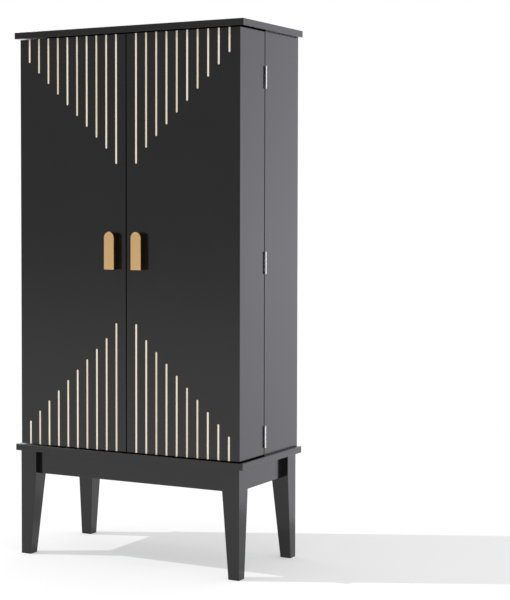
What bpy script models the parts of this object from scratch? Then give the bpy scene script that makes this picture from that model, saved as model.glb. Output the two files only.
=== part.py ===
"""Tall bar cabinet on four tapered legs, with two deep box doors.

Every board is black lacquered. Each door is a shallow box, as deep as a bottle, that swings on three butt
hinges at the cabinet's side and carries two shelves and three bottle rails. Its front has two fans of
round-ended grooves, cut in from the top and bottom edges, that grow towards the meeting edge.

Metres, +Z up, front towards -Y. The origin is on the floor, under the middle of the cabinet's box.
"""

import math

import bmesh
import bpy
from mathutils import Matrix, Vector

# Clearances
SEAT_GAP = 0.0003
CUT_MARGIN = 0.002

# Body
BODY_WIDTH = 0.770
BODY_DEPTH = 0.390
BODY_HEIGHT = 1.265
TOP_THICKNESS = 0.020
BASE_THICKNESS = 0.020
SIDE_OVERHANG = 0.015
FRONT_OVERHANG = 0.010
SIDE_PANEL_THICKNESS = 0.018
BACK_THICKNESS = 0.006
BACK_REBATE = 0.009
BOARD_ARRIS = 0.001

# Shelves inside the body
SHELF_THICKNESS = 0.018
SHELF_SETBACK = 0.012
SHELF_HOUSING = 0.006
LOWER_BAY_HEIGHT = 0.380

# Legs and the aprons tenoned into them
LEG_HEIGHT = 0.325
LEG_TOP_WIDTH = 0.056
LEG_FOOT_WIDTH = 0.035
LEG_SIDE_REVEAL = 0.015
LEG_FRONT_REVEAL = 0.007
LEG_BACK_REVEAL = 0.010
APRON_HEIGHT = 0.070
APRON_THICKNESS = 0.020
APRON_SETBACK = 0.0175
TENON_THICKNESS = 0.010
TENON_SHOULDER = 0.010
TENON_WALL = 0.002

# Doors
DOOR_DEPTH = 0.158
DOOR_PANEL_THICKNESS = 0.018
DOOR_EDGE_GAP = 0.0025
DOOR_MEETING_GAP = 0.003
DOOR_SHELF_THICKNESS = 0.015
DOOR_SHELF_HOUSING = 0.006

# Grooves in the door fronts
GROOVE_PITCH = 0.035
GROOVE_WIDTH = 0.006
GROOVE_DEPTH = 0.003
GROOVE_EDGE_MARGIN = 0.030
GROOVE_SHORTEST = 0.0725
GROOVE_STEP = 0.03375
GROOVE_LAST_STEP = 0.047
GROOVE_ARC_STEPS = 6

# Bottle rails in the doors
RAIL_DIAMETER = 0.008
RAIL_RISE = 0.090
RAIL_SETBACK = 0.014
RAIL_SOCKET = 0.006
RAIL_SEGMENTS = 16

# Handles, hollow castings with two screw bosses
HANDLE_WIDTH = 0.035
HANDLE_HEIGHT = 0.114
HANDLE_DEPTH = 0.0237
HANDLE_OFFSET = 0.047
HANDLE_DROP = 0.0205
HANDLE_WALL = 0.0035
HANDLE_EDGE = 0.0012
HANDLE_ARC_STEPS = 20
BOSS_DIAMETER = 0.010
BOSS_SPACING = 0.064
BOSS_SEGMENTS = 12

# Butt hinges
HINGE_LENGTH = 0.065
KNUCKLE_COUNT = 5
KNUCKLE_DIAMETER = 0.006
KNUCKLE_GAP = 0.0003
KNUCKLE_PROUD = 0.0002
KNUCKLE_SEGMENTS = 16
LEAF_WIDTH = 0.016
LEAF_THICKNESS = 0.0013
LEAF_RUNNING_GAP = 0.0003
FINGER_INSET = 0.0002
PIN_DIAMETER = 0.003
PIN_PLAY = 0.00015
PIN_HEAD_DIAMETER = 0.0048
PIN_HEAD_HEIGHT = 0.0012
SCREW_COUNT = 3
SCREW_HEAD_DIAMETER = 0.0056
SCREW_END_MARGIN = 0.0104
SCREW_EDGE_MARGIN = 0.0067
SCREW_SEGMENTS = 12
LOWER_HINGE_RISE = 0.0536
MIDDLE_HINGE_RISE = 0.5747
UPPER_HINGE_DROP = 0.1345

# Magnetic catches under the top board
CATCH_LENGTH = 0.046
CATCH_DEPTH = 0.016
CATCH_HEIGHT = 0.013
CATCH_OFFSET = 0.048
CATCH_EDGE = 0.0008
STRIKE_LENGTH = 0.038
STRIKE_HEIGHT = 0.010
STRIKE_THICKNESS = 0.0012
STRIKE_DROP = 0.001

# Levels that follow from the sizes above
BASE_BOTTOM = LEG_HEIGHT + SEAT_GAP
BASE_TOP = BASE_BOTTOM + BASE_THICKNESS
TOP_BOTTOM = BASE_TOP + BODY_HEIGHT
DOOR_BOTTOM = BASE_TOP + DOOR_EDGE_GAP
DOOR_TOP = TOP_BOTTOM - DOOR_EDGE_GAP
APRON_BOTTOM = LEG_HEIGHT - APRON_HEIGHT

# Depths that follow, from the front to the back
HINGE_GAP = 2 * (SEAT_GAP + LEAF_THICKNESS) + LEAF_RUNNING_GAP
FRONT_REACH = max(SEAT_GAP + HANDLE_DEPTH, FRONT_OVERHANG)
FRONT_Y = (FRONT_REACH - BODY_DEPTH) / 2
BACK_Y = FRONT_Y + BODY_DEPTH
BOARD_FRONT_Y = FRONT_Y - FRONT_OVERHANG
DOOR_BACK_Y = FRONT_Y + DOOR_DEPTH
DOOR_LINING_Y = FRONT_Y + DOOR_PANEL_THICKNESS + SEAT_GAP
HINGE_Y = DOOR_BACK_Y + HINGE_GAP / 2
CARCASS_FRONT_Y = DOOR_BACK_Y + HINGE_GAP
BACK_PANEL_Y = BACK_Y - BACK_THICKNESS

# Half widths that follow
HALF_BODY = BODY_WIDTH / 2
HALF_BOARD = HALF_BODY + SIDE_OVERHANG
HALF_INSIDE = HALF_BODY - SIDE_PANEL_THICKNESS
HALF_LEGS = HALF_BOARD - LEG_SIDE_REVEAL
HINGE_X = HALF_BODY + KNUCKLE_PROUD + KNUCKLE_DIAMETER / 2

SIDES = {"left": -1, "right": 1}


def hex_to_linear(code):
    """A six-figure sRGB colour as linear RGBA."""
    parts = [int(code[i : i + 2], 16) / 255 for i in (0, 2, 4)]
    low_end = 0.04045
    return [c / 12.92 if c <= low_end else ((c + 0.055) / 1.055) ** 2.4 for c in parts] + [1.0]


def finish(name, code, roughness, metallic=0.0):
    """A plain Principled material."""
    material = bpy.data.materials.new(name)
    material.use_nodes = True
    shader = material.node_tree.nodes["Principled BSDF"]
    shader.inputs["Base Color"].default_value = hex_to_linear(code)
    shader.inputs["Roughness"].default_value = roughness
    shader.inputs["Metallic"].default_value = metallic
    return material


def block(bm, corner, opposite):
    """Adds a box between two opposite corners, given in any order."""
    low = Vector(map(min, corner, opposite))
    high = Vector(map(max, corner, opposite))
    shape = Matrix.Translation((low + high) / 2) @ Matrix.Diagonal((*(high - low), 1.0))
    bmesh.ops.create_cube(bm, size=1.0, matrix=shape)


def extrude(bm, outline, travel):
    """Adds a prism: a flat outline of 3-D points, drawn along the travel vector."""
    face = bm.faces.new([bm.verts.new(point) for point in outline])
    drawn = bmesh.ops.extrude_face_region(bm, geom=[face])["geom"]
    ends = [item for item in drawn if isinstance(item, bmesh.types.BMVert)]
    bmesh.ops.translate(bm, verts=ends, vec=travel)


def rod(bm, radius, start, end, segments, end_radius=None):
    """Adds a capped cylinder between two points, or a cut-off cone if its end has a radius of its own."""
    start, end = Vector(start), Vector(end)
    turn = (end - start).to_track_quat("Z", "Y").to_matrix().to_4x4()
    bmesh.ops.create_cone(
        bm,
        cap_ends=True,
        segments=segments,
        radius1=radius,
        radius2=radius if end_radius is None else end_radius,
        depth=(end - start).length,
        matrix=Matrix.Translation((start + end) / 2) @ turn,
    )


def turned(bm, profile, axis_point, segments):
    """Adds a piece turned on a vertical axis, from (radius, height) points whose ends are on the axis."""
    verts = [bm.verts.new(Vector((r, 0, z)) + axis_point) for r, z in profile]
    edges = [bm.edges.new(pair) for pair in zip(verts, verts[1:])]
    bmesh.ops.spin(
        bm,
        geom=verts + edges,
        cent=axis_point,
        axis=(0, 0, 1),
        angle=math.tau,
        steps=segments,
        use_merge=True,
    )
    bmesh.ops.remove_doubles(bm, verts=bm.verts, dist=1e-6)


def half_round(centre_x, centre_z, radius, steps, up):
    """(x, z) points of a half circle from +X to -X, bulging up or down."""
    turns = [math.pi * i / steps for i in range(steps + 1)]
    way = 1 if up else -1
    return [(centre_x + radius * math.cos(t), centre_z + way * radius * math.sin(t)) for t in turns]


def piece(name, bm, material, carrier=None, arris=0.0):
    """Makes an object from a mesh in world places, with its origin at its middle or under its carrier."""
    bmesh.ops.recalc_face_normals(bm, faces=bm.faces)
    corners = [vert.co for vert in bm.verts]
    middle = Vector([(min(axis) + max(axis)) / 2 for axis in zip(*corners)])
    bmesh.ops.translate(bm, verts=bm.verts, vec=-middle)
    mesh = bpy.data.meshes.new(name)
    bm.to_mesh(mesh)
    bm.free()
    obj = bpy.data.objects.new(name, mesh)
    bpy.context.scene.collection.objects.link(obj)
    obj.parent = carrier
    obj.location = middle - carrier.location if carrier else middle
    if material:
        mesh.materials.append(material)
    if arris:
        bevel = obj.modifiers.new("arris", "BEVEL")
        bevel.width = arris
        bevel.segments = 1
    return obj


def board(name, corner, opposite, material, carrier=None, arris=0.0):
    """A rectangular board."""
    bm = bmesh.new()
    block(bm, corner, opposite)
    return piece(name, bm, material, carrier, arris)


def combine(obj, bm, purpose, operation="DIFFERENCE"):
    """Cuts a hidden shape out of an object, or joins it on."""
    tool = piece(f"{obj.name}_{purpose}", bm, None, obj.parent)
    tool.hide_render = True
    tool.display_type = "WIRE"
    modifier = obj.modifiers.new(purpose, "BOOLEAN")
    modifier.object = tool
    modifier.operation = operation
    return tool


def shade_round(obj):
    """Shades a round piece smooth, with its edges kept sharp."""
    obj.data.shade_smooth()
    obj.data.set_sharp_from_angle(angle=math.radians(40))


def top_and_base(lacquer):
    """The two boards that overhang the body."""
    levels = {
        "top_board": (TOP_BOTTOM, TOP_BOTTOM + TOP_THICKNESS),
        "base_board": (BASE_BOTTOM, BASE_TOP),
    }
    for name, (low, high) in levels.items():
        corner = (-HALF_BOARD, BOARD_FRONT_Y, low)
        board(name, corner, (HALF_BOARD, BACK_Y, high), lacquer, arris=BOARD_ARRIS)


def leg_corner(side, end):
    """The outer corner of a leg in plan, and the signs that lead inwards from it."""
    if end == "front":
        return SIDES[side] * HALF_LEGS, BOARD_FRONT_Y + LEG_FRONT_REVEAL, -SIDES[side], 1
    return SIDES[side] * HALF_LEGS, BACK_Y - LEG_BACK_REVEAL, -SIDES[side], -1


def apron_planes():
    """Distances from a leg's outer face to an apron's faces and to its tenon's faces."""
    outer = APRON_SETBACK
    inner = outer + APRON_THICKNESS
    cheek = (APRON_THICKNESS - TENON_THICKNESS) / 2
    return outer, inner, outer + cheek, inner - cheek


def tenon_length():
    """A tenon stops short of the mortise that enters the leg from the other face."""
    tenon_inner = apron_planes()[3]
    return LEG_TOP_WIDTH - tenon_inner - TENON_WALL


def leg(side, end, lacquer):
    """A leg that tapers below the aprons on its two inner faces, with a mortise for each apron."""
    x, y, inward_x, inward_y = leg_corner(side, end)
    bm = bmesh.new()
    rings = []
    for height, width in (
        (0.0, LEG_FOOT_WIDTH),
        (APRON_BOTTOM, LEG_TOP_WIDTH),
        (LEG_HEIGHT, LEG_TOP_WIDTH),
    ):
        plan = ((0, 0), (width, 0), (width, width), (0, width))
        rings.append([bm.verts.new((x + inward_x * a, y + inward_y * b, height)) for a, b in plan])
    for lower, upper in zip(rings, rings[1:]):
        for i in range(4):
            j = (i + 1) % 4
            bm.faces.new((lower[i], lower[j], upper[j], upper[i]))
    bm.faces.new(rings[0])
    bm.faces.new(rings[-1])
    made = piece(f"{end}_{side}_leg", bm, lacquer, arris=BOARD_ARRIS)

    tenon_outer, tenon_inner = apron_planes()[2:]
    low = tenon_outer - SEAT_GAP
    high = tenon_inner + SEAT_GAP
    deep = LEG_TOP_WIDTH - tenon_length() - SEAT_GAP
    past = LEG_TOP_WIDTH + CUT_MARGIN
    z_low = APRON_BOTTOM + TENON_SHOULDER - SEAT_GAP
    z_high = LEG_HEIGHT - TENON_SHOULDER + SEAT_GAP
    mortises = bmesh.new()
    for (x0, y0), (x1, y1) in (((deep, low), (past, high)), ((low, deep), (high, past))):
        block(
            mortises,
            (x + inward_x * x0, y + inward_y * y0, z_low),
            (x + inward_x * x1, y + inward_y * y1, z_high),
        )
    combine(made, mortises, "mortises")


def apron(name, across, first, second, faces, tenon_faces, lacquer):
    """An apron between two leg faces, along X when across is False or along Y when it is True."""

    def point(along, through, height):
        return (through, along, height) if across else (along, through, height)

    bm = bmesh.new()
    block(
        bm,
        point(first + SEAT_GAP, faces[0], APRON_BOTTOM),
        point(second - SEAT_GAP, faces[1], LEG_HEIGHT),
    )
    made = piece(name, bm, lacquer, arris=BOARD_ARRIS)
    tenons = bmesh.new()
    block(
        tenons,
        point(first - tenon_length(), tenon_faces[0], APRON_BOTTOM + TENON_SHOULDER),
        point(second + tenon_length(), tenon_faces[1], LEG_HEIGHT - TENON_SHOULDER),
    )
    combine(made, tenons, "tenons", "UNION")


def legs_and_aprons(lacquer):
    """The stand under the base board."""
    for side in SIDES:
        for end in ("front", "rear"):
            leg(side, end, lacquer)

    planes = apron_planes()
    inner_x = HALF_LEGS - LEG_TOP_WIDTH
    for end in ("front", "rear"):
        _, y, _, inward = leg_corner("right", end)
        around = [y + inward * plane for plane in planes]
        apron(f"{end}_apron", False, -inner_x, inner_x, around[:2], around[2:], lacquer)
    inner_front = leg_corner("right", "front")[1] + LEG_TOP_WIDTH
    inner_back = leg_corner("right", "rear")[1] - LEG_TOP_WIDTH
    for side in SIDES:
        x, _, inward, _ = leg_corner(side, "front")
        around = [x + inward * plane for plane in planes]
        apron(f"{side}_apron", True, inner_front, inner_back, around[:2], around[2:], lacquer)


def shelf_floors():
    """The height of each shelf's underside: a tall bay at the bottom, the rest shared equally."""
    names = ("lower_shelf", "middle_shelf", "upper_shelf")
    first = BASE_TOP + LOWER_BAY_HEIGHT
    rest = TOP_BOTTOM - first
    bay = (rest - len(names) * SHELF_THICKNESS) / len(names)
    return {name: first + i * (bay + SHELF_THICKNESS) for i, name in enumerate(names)}


def side_panel(side, lacquer):
    """A side of the body, rebated for the back panel and housed for the shelves."""
    sign = SIDES[side]
    outer = sign * HALF_BODY
    inner = sign * HALF_INSIDE
    rebate_x = sign * (HALF_INSIDE + BACK_REBATE)
    rebate_y = BACK_PANEL_Y - SEAT_GAP
    low = BASE_TOP + SEAT_GAP
    plan = (
        (outer, CARCASS_FRONT_Y),
        (inner, CARCASS_FRONT_Y),
        (inner, rebate_y),
        (rebate_x, rebate_y),
        (rebate_x, BACK_Y),
        (outer, BACK_Y),
    )
    bm = bmesh.new()
    extrude(bm, [(x, y, low) for x, y in plan], (0, 0, BODY_HEIGHT - 2 * SEAT_GAP))
    made = piece(f"{side}_side_panel", bm, lacquer)

    housings = bmesh.new()
    for floor in shelf_floors().values():
        block(
            housings,
            (sign * (HALF_INSIDE - CUT_MARGIN), CARCASS_FRONT_Y + SHELF_SETBACK - SEAT_GAP, floor - SEAT_GAP),
            (
                sign * (HALF_INSIDE + SHELF_HOUSING),
                BACK_PANEL_Y + CUT_MARGIN,
                floor + SHELF_THICKNESS + SEAT_GAP,
            ),
        )
    combine(made, housings, "housings")


def body(lacquer):
    """Side panels, back panel and shelves."""
    for side in SIDES:
        side_panel(side, lacquer)
    half_back = HALF_INSIDE + BACK_REBATE - SEAT_GAP
    board(
        "back_panel",
        (-half_back, BACK_PANEL_Y, BASE_TOP + SEAT_GAP),
        (half_back, BACK_Y, TOP_BOTTOM - SEAT_GAP),
        lacquer,
    )
    half_shelf = HALF_INSIDE + SHELF_HOUSING - SEAT_GAP
    for name, floor in shelf_floors().items():
        board(
            name,
            (-half_shelf, CARCASS_FRONT_Y + SHELF_SETBACK, floor),
            (half_shelf, BACK_PANEL_Y - 2 * SEAT_GAP, floor + SHELF_THICKNESS),
            lacquer,
            arris=BOARD_ARRIS,
        )


def groove_lengths():
    """Groove lengths outwards from the meeting edge, as many as the pitch lets on."""
    count = int((HALF_BODY - GROOVE_EDGE_MARGIN) / GROOVE_PITCH)
    lengths = [GROOVE_SHORTEST + GROOVE_STEP * (count - 1 - i) for i in range(count)]
    lengths[0] += GROOVE_LAST_STEP - GROOVE_STEP
    return lengths


def door_grooves(sign):
    """The grooves' cutter for one door front: round inner ends, open at the door's edges."""
    radius = GROOVE_WIDTH / 2
    start_y = FRONT_Y - CUT_MARGIN
    cutter = bmesh.new()
    for i, length in enumerate(groove_lengths()):
        x = sign * GROOVE_PITCH * (i + 1)
        for edge, up in ((DOOR_BOTTOM, True), (DOOR_TOP, False)):
            way = 1 if up else -1
            past = edge - way * CUT_MARGIN
            tip = half_round(x, edge + way * (length - radius), radius, GROOVE_ARC_STEPS, up)
            outline = [(x + radius, past), *tip, (x - radius, past)]
            extrude(cutter, [(px, start_y, pz) for px, pz in outline], (0, CUT_MARGIN + GROOVE_DEPTH, 0))
    return cutter


def door_bays():
    """Shelf undersides in a door, and the floor of each bay, for equal bays."""
    names = ("lower_shelf", "upper_shelf")
    bottom = DOOR_BOTTOM + DOOR_PANEL_THICKNESS
    clear = DOOR_TOP - DOOR_PANEL_THICKNESS - bottom
    bay = (clear - len(names) * DOOR_SHELF_THICKNESS) / (len(names) + 1)
    shelves = {name: bottom + bay + i * (bay + DOOR_SHELF_THICKNESS) for i, name in enumerate(names)}
    floors = {"bottom_rail": bottom}
    for name, underside in shelves.items():
        floors[name.replace("shelf", "rail")] = underside + DOOR_SHELF_THICKNESS
    return shelves, floors


def door_side(name, outer, inward, lacquer, axis):
    """A side of a door box, mitred to the front, housed for the shelves and bored for the rails."""
    inner = outer + inward * DOOR_PANEL_THICKNESS
    mitre_y = FRONT_Y + math.sqrt(2) * SEAT_GAP
    plan = (
        (outer, mitre_y),
        (inner, mitre_y + DOOR_PANEL_THICKNESS),
        (inner, DOOR_BACK_Y),
        (outer, DOOR_BACK_Y),
    )
    bm = bmesh.new()
    extrude(bm, [(x, y, DOOR_BOTTOM) for x, y in plan], (0, 0, DOOR_TOP - DOOR_BOTTOM))
    made = piece(name, bm, lacquer, axis)

    shelves, floors = door_bays()
    clear = inner + inward * CUT_MARGIN
    housings = bmesh.new()
    for underside in shelves.values():
        block(
            housings,
            (clear, DOOR_LINING_Y - CUT_MARGIN, underside - SEAT_GAP),
            (
                inner - inward * DOOR_SHELF_HOUSING,
                DOOR_BACK_Y + CUT_MARGIN,
                underside + DOOR_SHELF_THICKNESS + SEAT_GAP,
            ),
        )
    combine(made, housings, "housings")
    sockets = bmesh.new()
    rail_y = DOOR_BACK_Y - RAIL_SETBACK
    for floor in floors.values():
        start = (clear, rail_y, floor + RAIL_RISE)
        end = (inner - inward * RAIL_SOCKET, rail_y, floor + RAIL_RISE)
        rod(sockets, RAIL_DIAMETER / 2 + SEAT_GAP, start, end, RAIL_SEGMENTS)
    combine(made, sockets, "sockets")


def door(side, axis, lacquer, brass):
    """One door: a mitred box with a grooved front, shelves and bottle rails."""
    sign = SIDES[side]
    outer = sign * HALF_BODY
    meeting = sign * DOOR_MEETING_GAP / 2
    thick = sign * DOOR_PANEL_THICKNESS

    plan = (
        (outer, FRONT_Y),
        (meeting, FRONT_Y),
        (meeting + thick, FRONT_Y + DOOR_PANEL_THICKNESS),
        (outer - thick, FRONT_Y + DOOR_PANEL_THICKNESS),
    )
    bm = bmesh.new()
    extrude(bm, [(x, y, DOOR_BOTTOM) for x, y in plan], (0, 0, DOOR_TOP - DOOR_BOTTOM))
    front = piece(f"{side}_door_front", bm, lacquer, axis)
    combine(front, door_grooves(sign), "grooves")

    door_side(f"{side}_door_hinge_side", outer, -sign, lacquer, axis)
    door_side(f"{side}_door_meeting_side", meeting, sign, lacquer, axis)

    lining_meeting = meeting + thick + sign * SEAT_GAP
    lining_outer = outer - thick - sign * SEAT_GAP
    ends = {"top": DOOR_TOP - DOOR_PANEL_THICKNESS, "bottom": DOOR_BOTTOM}
    for name, low in ends.items():
        board(
            f"{side}_door_{name}",
            (lining_meeting, DOOR_LINING_Y, low),
            (lining_outer, DOOR_BACK_Y, low + DOOR_PANEL_THICKNESS),
            lacquer,
            axis,
        )

    shelves, floors = door_bays()
    housed = sign * (DOOR_SHELF_HOUSING - 2 * SEAT_GAP)
    for name, underside in shelves.items():
        board(
            f"{side}_door_{name}",
            (lining_meeting - housed, DOOR_LINING_Y, underside),
            (lining_outer + housed, DOOR_BACK_Y, underside + DOOR_SHELF_THICKNESS),
            lacquer,
            axis,
        )
    seated = sign * (RAIL_SOCKET - 2 * SEAT_GAP)
    rail_y = DOOR_BACK_Y - RAIL_SETBACK
    for name, floor in floors.items():
        bm = bmesh.new()
        start = (lining_meeting - seated, rail_y, floor + RAIL_RISE)
        end = (lining_outer + seated, rail_y, floor + RAIL_RISE)
        rod(bm, RAIL_DIAMETER / 2, start, end, RAIL_SEGMENTS)
        shade_round(piece(f"{side}_door_{name}", bm, brass, axis))


def tombstone(centre_x, low_z, width, height, depth_y):
    """3-D outline with a flat foot and a half-round head, in a plane across Y."""
    radius = width / 2
    head = half_round(centre_x, low_z + height - radius, radius, HANDLE_ARC_STEPS, True)
    outline = [(centre_x - radius, low_z), (centre_x + radius, low_z), *head]
    return [(x, depth_y, z) for x, z in outline]


def handle(side, axis, brass):
    """A cast handle: a tombstone block, eased at its front edge and hollow at the back around two bosses."""
    centre_x = SIDES[side] * HANDLE_OFFSET
    centre_z = (DOOR_BOTTOM + DOOR_TOP) / 2 - HANDLE_DROP
    low_z = centre_z - HANDLE_HEIGHT / 2
    back_y = FRONT_Y - SEAT_GAP
    front_y = back_y - HANDLE_DEPTH

    bm = bmesh.new()
    outline = tombstone(centre_x, low_z, HANDLE_WIDTH, HANDLE_HEIGHT, back_y)
    extrude(bm, outline, (0, -HANDLE_DEPTH, 0))
    rim = [e for e in bm.edges if all(abs(v.co.y - front_y) < SEAT_GAP for v in e.verts)]
    bmesh.ops.bevel(
        bm, geom=rim, offset=HANDLE_EDGE, offset_type="OFFSET", segments=2, profile=0.5, affect="EDGES"
    )
    made = piece(f"{side}_handle", bm, brass, axis)
    shade_round(made)

    pocket = bmesh.new()
    inner_width = HANDLE_WIDTH - 2 * HANDLE_WALL
    inner_height = HANDLE_HEIGHT - 2 * HANDLE_WALL
    pocket_outline = tombstone(
        centre_x, low_z + HANDLE_WALL, inner_width, inner_height, back_y + CUT_MARGIN
    )
    extrude(pocket, pocket_outline, (0, HANDLE_WALL - HANDLE_DEPTH - CUT_MARGIN, 0))
    hollow = combine(made, pocket, "hollow")
    bosses = bmesh.new()
    for way in (-1, 1):
        z = centre_z + way * BOSS_SPACING / 2
        start = (centre_x, back_y + 2 * CUT_MARGIN, z)
        rod(bosses, BOSS_DIAMETER / 2, start, (centre_x, front_y + HANDLE_WALL / 2, z), BOSS_SEGMENTS)
    combine(hollow, bosses, "bosses")


def countersinks(x, bottom, face_y, toward):
    """The cutter for the screw holes of a hinge leaf, wide at the face that meets the other leaf."""
    spacing = (HINGE_LENGTH - 2 * SCREW_END_MARGIN) / (SCREW_COUNT - 1)
    start_y = face_y - toward * SEAT_GAP
    deep = LEAF_THICKNESS + 2 * SEAT_GAP
    wide = SCREW_HEAD_DIAMETER / 2 + SEAT_GAP
    cutter = bmesh.new()
    for i in range(SCREW_COUNT):
        z = bottom + SCREW_END_MARGIN + i * spacing
        rod(cutter, wide, (x, start_y, z), (x, start_y + toward * deep, z), SCREW_SEGMENTS, wide - deep)
    return cutter


def hinge_leaf(name, axis_point, inward, toward, knuckles, steel, carrier):
    """A hinge leaf: a plate with screw holes, and fingers that end in knuckles, bored for the pin.

    inward is the sign in X from the hinge axis to the plate, and toward is the sign in Y to its board.
    """
    pitch = HINGE_LENGTH / KNUCKLE_COUNT
    bottom = axis_point.z - HINGE_LENGTH / 2
    reach = KNUCKLE_DIAMETER / 2 + KNUCKLE_PROUD + SEAT_GAP
    near = axis_point.x + inward * reach
    far = near + inward * LEAF_WIDTH
    face_y = axis_point.y + toward * LEAF_RUNNING_GAP / 2

    outline = [(far, bottom + HINGE_LENGTH), (far, bottom), (near, bottom)]
    spans = [(bottom + k * pitch + KNUCKLE_GAP / 2, bottom + (k + 1) * pitch - KNUCKLE_GAP / 2) for k in knuckles]
    for low, high in spans:
        finger_low = low + FINGER_INSET
        finger_high = high - FINGER_INSET
        outline += [
            (near, finger_low),
            (axis_point.x, finger_low),
            (axis_point.x, finger_high),
            (near, finger_high),
        ]
    outline.append((near, bottom + HINGE_LENGTH))
    bm = bmesh.new()
    extrude(bm, [(x, face_y, z) for x, z in outline], (0, toward * LEAF_THICKNESS, 0))
    made = piece(name, bm, steel, carrier)

    barrel = bmesh.new()
    for low, high in spans:
        start = (axis_point.x, axis_point.y, low)
        rod(barrel, KNUCKLE_DIAMETER / 2, start, (axis_point.x, axis_point.y, high), KNUCKLE_SEGMENTS)
    combine(made, barrel, "barrel", "UNION")
    bore = bmesh.new()
    start = axis_point - Vector((0, 0, HINGE_LENGTH / 2 + CUT_MARGIN))
    end = axis_point + Vector((0, 0, HINGE_LENGTH / 2 + CUT_MARGIN))
    rod(bore, PIN_DIAMETER / 2 + PIN_PLAY, start, end, KNUCKLE_SEGMENTS)
    combine(made, bore, "bore")
    combine(made, countersinks(far - inward * SCREW_EDGE_MARGIN, bottom, face_y, toward), "countersinks")


def hinge(side, level, height, axis, steel):
    """One butt hinge: a leaf on the body, a leaf on the door, and the pin, which stays with the body."""
    name = f"{side}_{level}_hinge"
    axis_point = Vector((SIDES[side] * HINGE_X, HINGE_Y, height))
    inward = -SIDES[side]
    even = range(0, KNUCKLE_COUNT, 2)
    odd = range(1, KNUCKLE_COUNT, 2)
    hinge_leaf(f"{name}_body_leaf", axis_point, inward, 1, even, steel, None)
    hinge_leaf(f"{name}_door_leaf", axis_point, inward, -1, odd, steel, axis)

    shank = PIN_DIAMETER / 2
    head = PIN_HEAD_DIAMETER / 2
    seat = HINGE_LENGTH / 2 + SEAT_GAP
    end = seat + PIN_HEAD_HEIGHT
    profile = (
        (0, end),
        (head, end),
        (head, seat),
        (shank, seat),
        (shank, -seat),
        (head, -seat),
        (head, -end),
        (0, -end),
    )
    bm = bmesh.new()
    turned(bm, profile, axis_point, KNUCKLE_SEGMENTS)
    shade_round(piece(f"{name}_pin", bm, steel))


def catch(side, axis, plastic, steel):
    """A magnet block under the top board, and the strike plate that it pulls on the door's top edge."""
    centre_x = SIDES[side] * CATCH_OFFSET
    strike_back = DOOR_BACK_Y + SEAT_GAP + STRIKE_THICKNESS
    magnet_front = strike_back + SEAT_GAP
    board(
        f"{side}_catch_magnet",
        (centre_x - CATCH_LENGTH / 2, magnet_front, TOP_BOTTOM - SEAT_GAP - CATCH_HEIGHT),
        (centre_x + CATCH_LENGTH / 2, magnet_front + CATCH_DEPTH, TOP_BOTTOM - SEAT_GAP),
        plastic,
        arris=CATCH_EDGE,
    )
    strike_top = DOOR_TOP - STRIKE_DROP
    board(
        f"{side}_catch_strike",
        (centre_x - STRIKE_LENGTH / 2, DOOR_BACK_Y + SEAT_GAP, strike_top - STRIKE_HEIGHT),
        (centre_x + STRIKE_LENGTH / 2, strike_back, strike_top),
        steel,
        axis,
    )


def door_axis(side):
    """The empty on a door's hinge axis, which carries everything that swings with the door."""
    axis = bpy.data.objects.new(f"{side}_door_axis", None)
    axis.location = (SIDES[side] * HINGE_X, HINGE_Y, DOOR_BOTTOM)
    bpy.context.scene.collection.objects.link(axis)
    return axis


def main():
    for obj in list(bpy.data.objects):
        bpy.data.objects.remove(obj)

    lacquer = finish("black_lacquer", "1a1a1c", roughness=0.3)
    brass = finish("satin_brass", "c7a373", roughness=0.35, metallic=1.0)
    steel = finish("bright_steel", "c9c9cb", roughness=0.25, metallic=1.0)
    plastic = finish("black_plastic", "202022", roughness=0.5)

    top_and_base(lacquer)
    legs_and_aprons(lacquer)
    body(lacquer)
    hinge_heights = {
        "lower": DOOR_BOTTOM + LOWER_HINGE_RISE,
        "middle": DOOR_BOTTOM + MIDDLE_HINGE_RISE,
        "upper": DOOR_TOP - UPPER_HINGE_DROP,
    }
    for side in SIDES:
        axis = door_axis(side)
        door(side, axis, lacquer, brass)
        handle(side, axis, brass)
        catch(side, axis, plastic, steel)
        for level, height in hinge_heights.items():
            hinge(side, level, height, axis, steel)


main()
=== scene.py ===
"""Finishes a tall bar cabinet: black lacquer, pale inlaid strips, brass and plated steel on its solids.

Laid out as an add-on and run as a script. Metres, +Z up, front towards -Y, with the origin on the floor
under the middle.
"""

import math

import bmesh
import bpy
from bpy.props import FloatProperty, FloatVectorProperty, IntProperty, PointerProperty
from mathutils import Matrix, Vector


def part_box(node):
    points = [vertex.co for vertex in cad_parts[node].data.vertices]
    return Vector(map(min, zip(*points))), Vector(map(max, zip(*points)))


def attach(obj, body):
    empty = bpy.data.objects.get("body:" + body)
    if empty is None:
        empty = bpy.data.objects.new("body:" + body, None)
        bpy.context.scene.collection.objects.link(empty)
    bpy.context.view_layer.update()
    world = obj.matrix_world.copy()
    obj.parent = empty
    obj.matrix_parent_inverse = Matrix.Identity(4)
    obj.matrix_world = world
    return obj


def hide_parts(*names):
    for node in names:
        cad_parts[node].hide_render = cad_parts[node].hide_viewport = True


bl_info = {
    "name": "Bar cabinet finishes",
    "version": (1, 0, 0),
    "blender": (4, 5, 0),
    "location": "View3D > Sidebar > Cabinet",
    "description": "Dresses a bar cabinet with deep box doors in lacquer, inlay, brass and steel",
    "category": "Object",
}

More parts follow.
